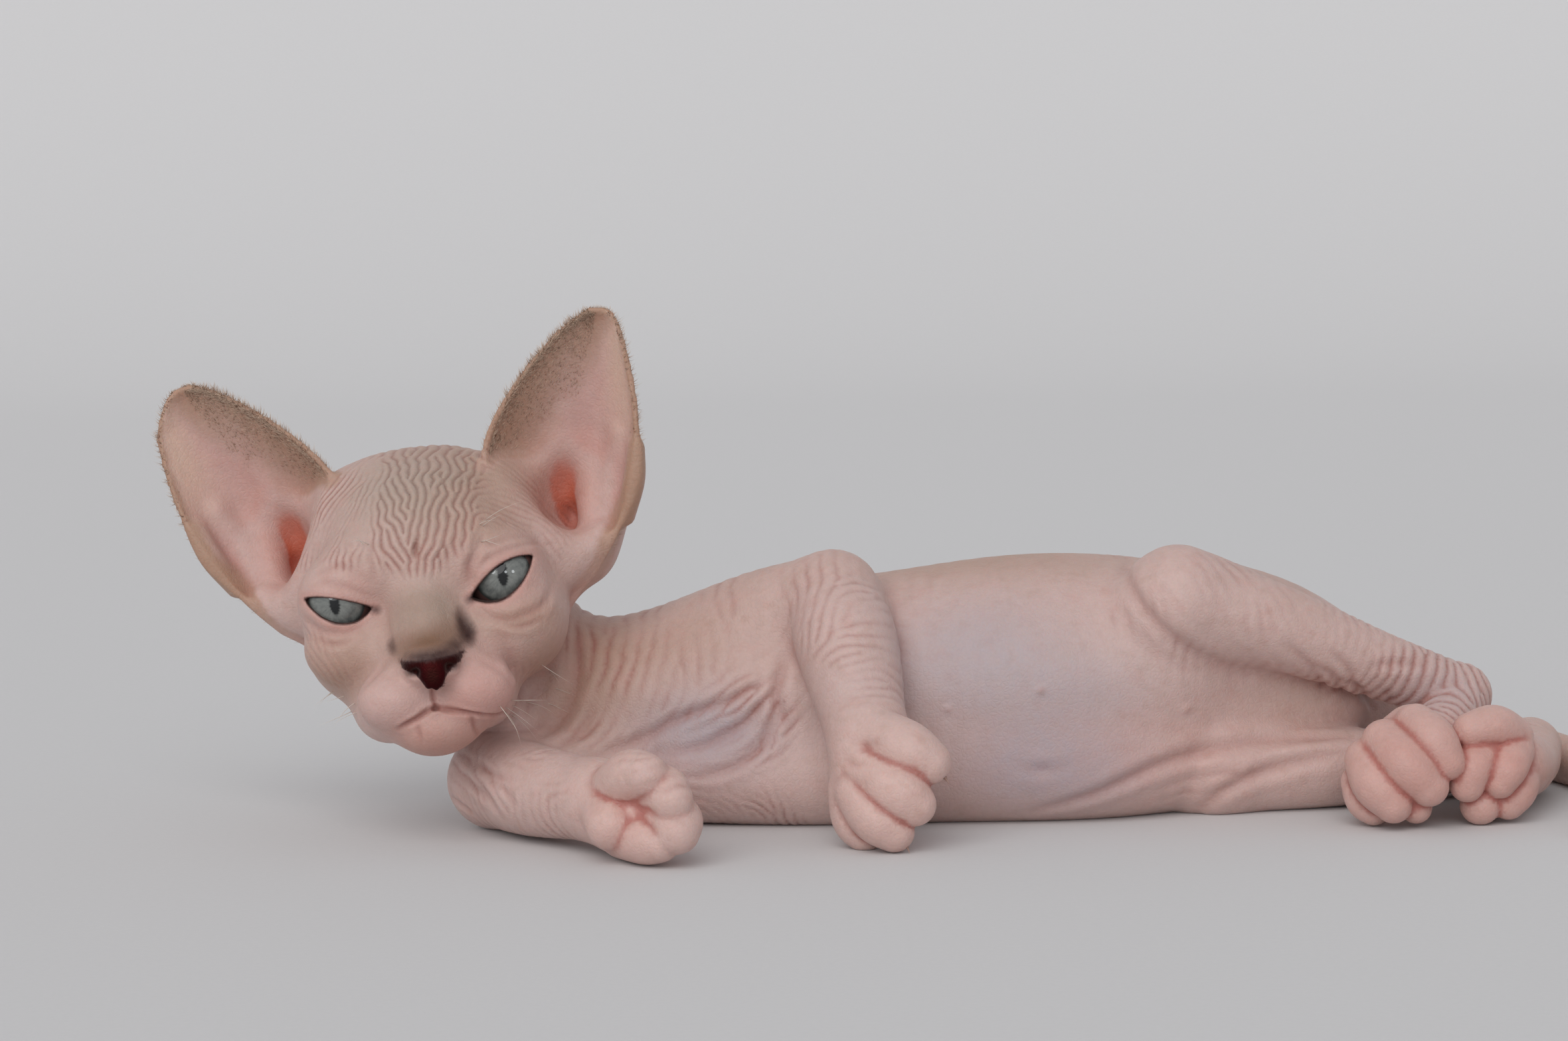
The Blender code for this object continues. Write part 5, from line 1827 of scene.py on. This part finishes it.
    def markings(self) -> dict[str, np.ndarray]:
        """Lays out the skin's colours.

        Returns:
            The strength of each marking at each corner.
        """
        points = self.shape.corners
        face = FACE.into(points)
        made = {}
        for name, spots in MARKINGS.items():
            total = np.zeros(len(points))
            for spot in spots:
                total = 1 - (1 - total) * (1 - spot.on(points))
            made[name] = total
        bridge = Spot((1, -12, -4), (10, 10, 7), 1.0, FACE).on(points)
        made["crown"] = np.maximum(Spot((2, 6, 24), (19, 26, 14), 1.0, SKULL).on(points), bridge)
        back, inside, painted_light = self.ear_marks()
        made["ear_back"] = back
        # Painted light on the inside of each ear, where light would shine through.
        made["ear_painted_light"] = painted_light * inside * (1 - back)
        made["tan"] = made["tan"] * (1 - 0.8 * inside)
        made["blush"] = np.clip(made["blush"] + inside * 0.5 * (1 - back), 0, 1)
        made["canal"] = made["canal"] * np.maximum(inside, 0.35)
        # Lids: a dark, wet rim, and a redder skin round it.
        for almond in ALMONDS:
            local = almond.local(face)
            away = almond.distance(local)
            here = (np.abs(local[:, 0]) < 14) & (face[:, 1] < 4)
            rim = np.where(here, ramp(away, 0.75, 0.05), 0)
            corner = np.exp(-(((local[:, 0] + 8.2) / 2.0) ** 2) - ((local[:, 2] + 0.2) / 1.3) ** 2)
            corner = np.where(here, corner, 0)
            made["dark"] = np.maximum(made["dark"], np.maximum(rim * 0.93, corner * 0.8))
            made["blush"] = np.maximum(made["blush"], np.where(here, ramp(away, 3.0, 0.4) * 0.75, 0))
        # Nose leather: broad above, drawn to a point at the cleft.
        x, y, z = face[:, 0] - 0.7, face[:, 1], face[:, 2]
        half = np.interp(z, (-21.6, -20.4, -18.2, -17.0, -15.6, -14.2), (0.5, 1.9, 3.0, 4.2, 6.6, 7.4))
        height = ramp(z, -13.6, -14.7) * ramp(z, -21.9, -21.0)
        made["leather"] = ramp(half - np.abs(x), -0.3, 0.45) * height * (y < -16)
        return made

    def ear_marks(self) -> np.ndarray:
        """Lays out the ears' colours.

        Returns:
            How much each corner is brown ear, how much the inside of one, and how much painted light it gets.
        """
        points, normals = self.shape.corners, self.shape.normals
        skull = SKULL.into(points)
        made = np.zeros((3, len(points)))
        for ear in EARS:
            sheet, shares, acrosses = ear.grid()
            tree = KDTree(shares.size)
            for index, spot in enumerate(sheet.reshape(-1, 3)):
                tree.insert(spot, index)
            tree.balance()
            local = skull * (ear.side.value, 1, 1)
            mine = np.flatnonzero((local > EAR_CORNER).all(1))
            shares, acrosses = shares.ravel(), acrosses.ravel()
            ahead = -(normals[mine] @ SKULL.turn)[:, 1]
            for index, front in zip(mine, ahead):
                _, hit, away = tree.find(points[index])
                reach = EAR_REACH_AHEAD if front > -0.1 else EAR_REACH_BEHIND
                if away > reach:
                    continue
                full = min(1, (1 - away / reach) * 3)
                rim = min(1 - abs(acrosses[hit]), (1 - shares[hit]) * 1.2)
                back = float(front < -0.1)
                wide = 0.18 + 0.5 * ramp(acrosses[hit], 0.5, -0.5)
                edge = max(0.0, 1 - (rim / wide) ** 1.6)
                brown = max(back * 0.7, edge) * full * min(1, shares[hit] * 4)
                # Painted light, towards the outer edge and the upper half of the ear.
                painted_light = ramp(acrosses[hit], -0.1, 0.7) * ramp(shares[hit], 0.35, 0.7)
                made[:, index] = brown, (1 - back) * full, painted_light
        return made

    def thinned(self, corners: np.ndarray) -> bpy.types.Mesh:
        """Thins the moved surface to the limit of triangles.

        Args:
            corners: Where its corners now are.

        Returns:
            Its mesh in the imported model's frame.
        """
        mesh = bpy.data.meshes.new("skin")
        mesh.from_pydata(self.studio.place(corners), [], self.shape.polygons)
        obj = bpy.data.objects.new("skin_dense", mesh)
        bpy.context.scene.collection.objects.link(obj)
        triangles = sum(len(p) - 2 for p in self.shape.polygons)
        obj.modifiers.new("triangles", "TRIANGULATE")
        decimate = obj.modifiers.new("thin", "DECIMATE")
        decimate.ratio = min(1.0, TRIANGLE_LIMIT / triangles)
        graph = bpy.context.evaluated_depsgraph_get()
        made = bpy.data.meshes.new_from_object(obj.evaluated_get(graph))
        bpy.data.objects.remove(obj)
        return made

    def carry(self, mesh: bpy.types.Mesh, corners: np.ndarray, marks: dict[str, np.ndarray]) -> None:
        """Gives the thinned mesh the marks of the dense one.

        Args:
            mesh: The thinned mesh.
            corners: The dense one's corners.
            marks: Their marks.
        """
        tree = KDTree(len(corners))
        for index, spot in enumerate(self.studio.place(corners)):
            tree.insert(spot, index)
        tree.balance()
        source = np.array([tree.find(v.co)[1] for v in mesh.vertices])
        for layer in list(mesh.attributes):
            if not layer.is_internal and not layer.is_required:
                mesh.attributes.remove(layer)
        for name, values in marks.items():
            set_values(mesh, name, np.clip(values[source], 0, 1))


@dataclass
class Eyeball:
    """An eye with a bulging cornea, mapped from the middle of its pupil."""

    studio: Studio
    side: Side
    gaze: tuple[float, float]
    iris: float = 7.3
    bulge: float = 0.55
    slit: tuple[float, float] = (1.2, 3.0)

    def build(self, material: bpy.types.Material) -> bpy.types.Object:
        """Builds the eye.

        Args:
            material: Its finish.

        Returns:
            The eye.
        """
        form = bmesh.new()
        bmesh.ops.create_uvsphere(form, u_segments=96, v_segments=64, radius=EYE_RADIUS)
        yaw, pitch = self.gaze
        look = FACE.turn @ rotation("Z", yaw) @ rotation("X", pitch)
        points = np.array([v.co for v in form.verts])
        # The sphere's pole looks ahead, so its fine rows lie round the pupil.
        away = np.arccos(np.clip(points[:, 2] / EYE_RADIUS, -1, 1)) * EYE_RADIUS
        swell = 1 + self.bulge / EYE_RADIUS * np.clip(1 - (away / self.iris) ** 2, 0, 1) ** 1.5
        local = np.stack([points[:, 0], -points[:, 2], points[:, 1]], -1) * swell[:, None]
        world = local @ look.T + FACE.out(eye_place(self.side))
        for vert, spot in zip(form.verts, self.studio.place(world)):
            vert.co = spot
        bmesh.ops.recalc_face_normals(form, faces=form.faces)
        mesh = bpy.data.meshes.new("eye")
        form.to_mesh(mesh)
        form.free()
        set_values(mesh, "radius", away / self.iris)
        set_values(mesh, "angle", np.arctan2(local[:, 2], local[:, 0]) / (2 * np.pi) + 0.5)
        wide, tall = self.slit
        upright = np.where(away < 6, np.hypot(local[:, 0] / wide, local[:, 2] / tall), 9)
        set_values(mesh, "slit", ramp(upright, 1.12, 0.92))
        return self.studio.add(f"eyeball_{self.side.name.lower()}", mesh, material)


@dataclass
class HairPatch:
    """Many tapered hairs joined in one mesh, each with its patch of the bake map at its root's place."""

    studio: Studio
    name: str
    sides: int
    rings: int

    def template(self) -> tuple[np.ndarray, list[list[int]]]:
        """Makes one hair of unit length and radius along Z, tapered to a point.

        Returns:
            Its corners and its faces.
        """
        form = bmesh.new()
        bmesh.ops.create_cone(form, cap_ends=True, segments=self.sides, radius1=1, radius2=0.12, depth=1)
        upright = [e for e in form.edges if abs(e.verts[0].co.z - e.verts[1].co.z) > 0.5]
        bmesh.ops.subdivide_edges(form, edges=upright, cuts=self.rings - 1)
        bmesh.ops.translate(form, verts=form.verts, vec=(0, 0, 0.5))
        bmesh.ops.triangulate(form, faces=form.faces)
        bmesh.ops.recalc_face_normals(form, faces=form.faces)
        form.verts.ensure_lookup_table()
        points = np.array([v.co for v in form.verts])
        faces = [[v.index for v in f.verts] for f in form.faces]
        form.free()
        points[:, :2] *= np.sqrt(1.02 - points[:, 2:] ** 1.6)
        return points, faces

    def build(
        self,
        roots: np.ndarray,
        directions: np.ndarray,
        bends: np.ndarray,
        lengths: np.ndarray,
        radii: np.ndarray,
        bake: np.ndarray,
        material: bpy.types.Material,
    ) -> bpy.types.Object:
        """Builds the hairs.

        Args:
            roots: Where each starts, in mm.
            directions: Which way each starts.
            bends: The way that each bends by its tip, with the length of the bend as a share of the hair's.
            lengths: How long each is.
            radii: How thick each is at its root.
            bake: Where each root is on the unwrap of its skin.
            material: The finish.

        Returns:
            The joined hairs.
        """
        points, faces = self.template()
        count, size = len(roots), len(points)
        axis = unit(directions)
        side = unit(np.cross(axis, np.where(np.abs(axis[:, 2:]) > 0.9, (1.0, 0, 0), (0, 0, 1.0))))
        up = np.cross(axis, side)
        along = points[None, :, 2, None] * lengths[:, None, None]
        flat = points[None, :, 0, None] * side[:, None] + points[None, :, 1, None] * up[:, None]
        bend = bends[:, None] * (points[None, :, 2, None] ** 2) * lengths[:, None, None]
        world = roots[:, None] + axis[:, None] * along + flat * radii[:, None, None] + bend
        index = (np.array(faces)[None] + (np.arange(count) * size)[:, None, None]).reshape(-1, 3)
        mesh = bpy.data.meshes.new(self.name)
        mesh.from_pydata(self.studio.place(world.reshape(-1, 3)), [], index.tolist())
        set_values(mesh, "along", np.tile(points[:, 2], count))
        set_values(mesh, "tone", np.repeat(np.arange(count) * GOLDEN % 1, size))
        span = np.stack([points[:, 0] * 0.5 + 0.5, points[:, 2]], -1) * BAKE_PATCH
        map_layer = mesh.uv_layers.new(name="OFBake")
        spots = (bake[:, None] + span[None]).reshape(-1, 2)[index.ravel()]
        map_layer.data.foreach_set("uv", spots.astype(np.float32).ravel())
        log.info("%s: %d hairs, %d triangles", self.name, count, len(index))
        return self.studio.add(self.name, mesh, material)


@dataclass
class EarFuzz:
    """Short brown fur along the margin, on the band inside it and down the back of an ear."""

    studio: Studio
    ear: Ear
    tufts: int = 7000
    on_margin: int = 1400
    on_band: int = 2940
    jitter: float = 0.26

    def build(self, material: bpy.types.Material) -> bpy.types.Object:
        """Builds the fur, first on both margins, then on the band and last on the back.

        Args:
            material: Its finish.

        Returns:
            The fur.
        """
        draw = np.random.default_rng(SEED + self.ear.side.value)
        edge, band = self.on_margin, self.on_margin + self.on_band
        share = np.clip(draw.random(self.tufts) ** 0.9, 0.08, 0.97)
        across = draw.uniform(-0.97, 0.97, self.tufts)
        inner = draw.random(edge) < 0.7
        across[:edge] = np.where(inner, -1, 1) * np.clip(1 - np.abs(draw.normal(0, 0.03, edge)), 0.86, 1.0)
        share[:edge] = 0.985 - draw.random(edge) ** 0.9 * 0.93
        across[edge:band] = -0.99 + 0.75 * draw.random(band - edge) ** 2.4
        share[edge:band] = 0.1 + 0.87 * draw.random(band - edge)
        front = np.zeros(self.tufts, bool)
        front[edge:band] = True
        sheet = self.ear.sheet
        spot = sheet(share, across)
        up = unit(sheet(np.clip(share + 0.01, 0, 1), across) - sheet(share - 0.01, across))
        wide = sheet(share, np.clip(across + 0.02, -1, 1)) - sheet(share, np.clip(across - 0.02, -1, 1))
        normal = unit(np.cross(up, wide))
        back = normal * np.sign((normal @ SKULL.turn)[np.abs(across) < 0.4, 1].mean())
        ends = np.ones_like(share)
        out = unit(sheet(share, ends) - sheet(share, -ends)) * np.sign(across)[:, None]
        rim = np.abs(across) > 0.85
        wall = EAR_WALL / 2 - 0.12
        thick = draw.uniform(-0.7, 0.5, self.tufts)
        roots = spot + back * np.where(front, -wall, np.where(rim, thick, wall))[:, None]
        jitter = draw.normal(0, self.jitter, roots.shape)
        on_rim = out * 0.7 + up * 0.5 + back * thick[:, None] * 0.7
        lie = np.where(rim[:, None], on_rim, up * 0.9 + back * 0.34)
        lie = np.where(front[:, None], up * 0.7 + out * 0.3 - back * 0.6, lie)
        lengths = draw.uniform(0.8, 1.5, self.tufts) * np.where(rim & ~front, 1.45, 1)
        lengths = lengths * np.interp(share, (0.9, 1), (1, 0.7))
        half = 0.5 if self.ear.side is Side.LEFT else 0
        bake = np.stack([0.02 + 0.45 * (across + 1) / 2 + half, 0.02 + 0.94 * share], -1)
        radii = draw.uniform(0.055, 0.1, self.tufts)
        bends = up * 0.3 + draw.normal(0, 0.1, roots.shape)
        patch = HairPatch(self.studio, f"ear_fuzz_{self.ear.side.name.lower()}", 3, 3)
        return patch.build(roots, unit(lie + jitter), bends, lengths, radii, bake, material)


@dataclass(frozen=True)
class Tuft:
    """A few long hairs: their root and its spread in the camera's frame, and their way, number and length."""

    root: tuple[float, float]
    towards: Point
    count: int
    length: float
    spread: float


TUFTS = (
    Tuft((618, 668), (0.9, -0.5, 0.45), 3, 11, 5), Tuft((612, 690), (0.8, -0.5, -0.1), 2, 8, 4),
    Tuft((655, 895), (1.0, -0.3, -0.1), 5, 9, 7), Tuft((645, 905), (0.8, -0.4, -0.7), 3, 8, 5),
    Tuft((700, 850), (0.9, -0.3, -0.3), 2, 7, 6),
    Tuft((440, 905), (-0.9, -0.4, -0.5), 4, 9, 7), Tuft((425, 880), (-1.0, -0.3, 0.1), 3, 8, 6),
    Tuft((468, 700), (-0.7, -0.5, 0.5), 2, 9, 4), Tuft((700, 885), (1.0, -0.2, -0.2), 2, 8, 5),
)


@dataclass
class Whiskers:
    """Sparse, kinked whiskers of the muzzle, cheeks and brows."""

    studio: Studio
    shape: Shape
    view: View

    def build(self, material: bpy.types.Material) -> bpy.types.Object:
        """Builds the whiskers.

        Args:
            material: Their finish.

        Returns:
            The whiskers.
        """
        draw = np.random.default_rng(SEED + 5)
        roots, directions, bends, lengths, radii, bake = [], [], [], [], [], []
        for tuft in TUFTS:
            for _ in range(tuft.count):
                jitter = draw.normal(0, tuft.spread, 2)
                hit = self.shape.seen(self.view, tuft.root[0] + jitter[0], tuft.root[1] + jitter[1])
                if not hit:
                    continue
                place, normal = hit
                roots.append(place - normal * 0.3)
                directions.append(unit(np.array(tuft.towards) + normal * 0.5 + draw.normal(0, 0.18, 3)))
                bends.append(draw.normal(0, 0.16, 3) + (0, 0, -0.16))
                lengths.append(tuft.length * draw.uniform(0.6, 1.1))
                radii.append(draw.uniform(0.09, 0.13))
                local = FACE.into(place) / 80
                bake.append((0.5 + local[0], 0.5 + local[2]))
        arrays = [np.array(values, float) for values in (roots, directions, bends, lengths, radii, bake)]
        return HairPatch(self.studio, "whiskers", 4, 9).build(*arrays, material)


@dataclass
class Claws:
    """The claw tips that show between the toes."""

    studio: Studio
    view: View
    length: float = 2.0
    radius: float = 0.8
    lowest: float = 2.4

    def build(self, material: bpy.types.Material) -> bpy.types.Object:
        """Builds the claws.

        Args:
            material: Their finish.

        Returns:
            The claws.
        """
        roots, directions, bake = [], [], []
        for number, paw in enumerate(PAWS):
            for toe in paw.claws:
                tip, along = paw.tip(toe, self.view)
                tip[2] = max(tip[2], self.lowest)
                roots.append(tip)
                directions.append(along)
                bake.append((0.1 + 0.2 * number, 0.1 + 0.2 * toe))
        count = len(roots)
        bends = np.tile((0.0, -0.1, -0.42), (count, 1))
        patch = HairPatch(self.studio, "claws", 8, 5)
        roots, directions, bake = np.array(roots), np.array(directions), np.array(bake)
        lengths, radii = np.full(count, self.length), np.full(count, self.radius)
        return patch.build(roots, directions, bends, lengths, radii, bake, material)


class Source(Enum):
    """The kinds of lamp, by Blender's names: a wide sky, and a window that only glints in the eyes."""

    SKY = "SUN"
    WINDOW = "AREA"


@dataclass(frozen=True)
class Lamp:
    """A soft lamp: where it is, in metres round the kitten, how large and how strong."""

    name: str
    place: Point
    size: float
    power: float
    colour: Colour
    source: Source = Source.WINDOW


@dataclass
class Room:
    """The pale floor that curves up behind, the soft light and the camera."""

    studio: Studio
    view: View
    lamps: tuple[Lamp, ...] = (
        Lamp("sky", (-0.3, -1.0, 0.8), 1.0, 1.5, (1.0, 0.99, 0.975), Source.SKY),
        Lamp("window_left", (-0.62, -1.0, 0.42), 0.34, 2.2, (0.93, 0.97, 1.0)),
        Lamp("window_middle", (0.28, -1.1, 0.4), 0.2, 1.2, (0.93, 0.97, 1.0)),
        Lamp("window_right", (0.75, -0.85, 0.38), 0.22, 1.2, (0.93, 0.97, 1.0)),
    )
    floor_half: float = 6.0
    floor_run: float = 1.3
    floor_rise: float = 1.6
    floor_colours: tuple[Colour, Colour] = ((0.63, 0.625, 0.63), (0.66, 0.655, 0.66))
    wall_colour: Colour = (0.96, 0.97, 1.0)
    wall_light: float = 0.48

    def build(self) -> None:
        """Builds the room."""
        self.add_floor()
        self.add_light()
        self.add_camera()

    def add_floor(self) -> None:
        """A sheet that lies flat and sweeps up far behind."""
        form = bmesh.new()
        bmesh.ops.create_grid(form, x_segments=2, y_segments=160, size=1.0)
        for vert in form.verts:
            run = vert.co.y * self.floor_half
            bend = max(0.0, run - self.floor_run)
            back = self.floor_run + self.floor_rise * math.tanh(bend / self.floor_rise)
            vert.co = Vector((vert.co.x * self.floor_half, min(run, back), bend**2 / (2.2 + bend)))
        mesh = bpy.data.meshes.new("floor")
        form.to_mesh(mesh)
        form.free()
        sheet = Sheet("pale_floor")
        grain = sheet.noise(700.0, 2.0)
        colour = sheet.mix(*self.floor_colours, grain)
        material = sheet.finish(Base_Color=colour, Roughness=0.85, Normal=sheet.bump(grain, 0.1, 0.0002))
        self.studio.add("floor", mesh, material)

    def add_light(self) -> None:
        """The lamps and the light of the walls."""
        for lamp in self.lamps:
            light = bpy.data.lights.new(lamp.name, lamp.source.value)
            if lamp.source is Source.SKY:
                light.angle = lamp.size
            else:
                light.shape = "DISK"
                light.size = lamp.size
            light.energy = lamp.power
            light.color = lamp.colour
            obj = bpy.data.objects.new(lamp.name, light)
            obj.visible_diffuse = lamp.source is Source.SKY
            bpy.context.scene.collection.objects.link(obj)
            obj.location = lamp.place
            obj.rotation_euler = (Vector((0, 0, 0.04)) - obj.location).to_track_quat("-Z", "Y").to_euler()
        world = bpy.data.worlds.new("walls")
        bpy.context.scene.world = world
        world.use_nodes = True
        background = world.node_tree.nodes["Background"]
        background.inputs["Color"].default_value = (*self.wall_colour, 1.0)
        background.inputs["Strength"].default_value = self.wall_light

    def add_camera(self) -> None:
        """The photograph's camera."""
        data = bpy.data.cameras.new("camera")
        camera = bpy.data.objects.new("camera", data)
        bpy.context.scene.collection.objects.link(camera)
        data.sensor_width = self.view.sensor
        data.lens = self.view.lens
        data.clip_start = 0.01
        matrix = self.view.matrix
        matrix.translation = Vector(self.studio.place(np.array(matrix.translation)))
        camera.matrix_world = matrix
        bpy.context.scene.camera = camera
        bpy.context.scene.view_settings.view_transform = "Standard"


FLESH_NODES = (
    "head", "nose", "ear_left", "ear_right", "neck", "torso",
    "left_upper_arm", "left_forearm", "left_forepaw", "right_upper_arm", "right_forearm", "right_forepaw",
    "left_thigh", "left_shank", "left_hind_paw", "right_thigh", "right_shank", "right_hind_paw",
    "tail_base", "tail_middle", "tail_tip",
)


def register(piece: bpy.types.Object, slot: str, nodes: Iterable[str] = ()) -> None:
    """Makes a piece ride, hides the nodes that it stands for, and reports it with the slot of its finish.

    Args:
        piece: The piece.
        slot: The slot of its finish.
        nodes: The nodes that it stands for.
    """
    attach(piece, "root")
    if nodes:
        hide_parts(*nodes)
    log.info("%s: %d faces, finish %s", piece.name, len(piece.data.polygons), slot)


def main() -> None:
    """Builds every piece in turn."""
    logging.basicConfig(level=logging.INFO, format="%(message)s")
    for obj in list(bpy.data.objects):
        bpy.data.objects.remove(obj)
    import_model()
    low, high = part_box("eye_left")
    middle = np.array((low + high) / 2) / MM
    studio = Studio(middle - FACE.out(eye_place(Side.LEFT)))
    view = View()
    Room(studio, view).build()
    skin = Skin(studio, view)
    register(skin.build(), "skin", FLESH_NODES)
    eye_material = EyeFinish().material()
    for side, gaze in ((Side.LEFT, (3.0, -8.0)), (Side.RIGHT, (-6.0, -4.0))):
        eye = Eyeball(studio, side, gaze).build(eye_material)
        register(eye, "eye", [f"eye_{side.name.lower()}"])
    fuzz = HairFinish("ear_fur", (0.30, 0.175, 0.12), (0.80, 0.62, 0.48)).material()
    for ear in EARS:
        register(EarFuzz(studio, ear).build(fuzz), "ear_skin")
    pale = HairFinish("whisker_hair", (0.55, 0.45, 0.38), (0.82, 0.76, 0.68), 0.35, 0.2).material()
    register(Whiskers(studio, skin.shape, view).build(pale), "skin")
    register(Claws(studio, view).build(HornFinish().material()), "paw_skin")


if __name__ == "__main__":
    main()
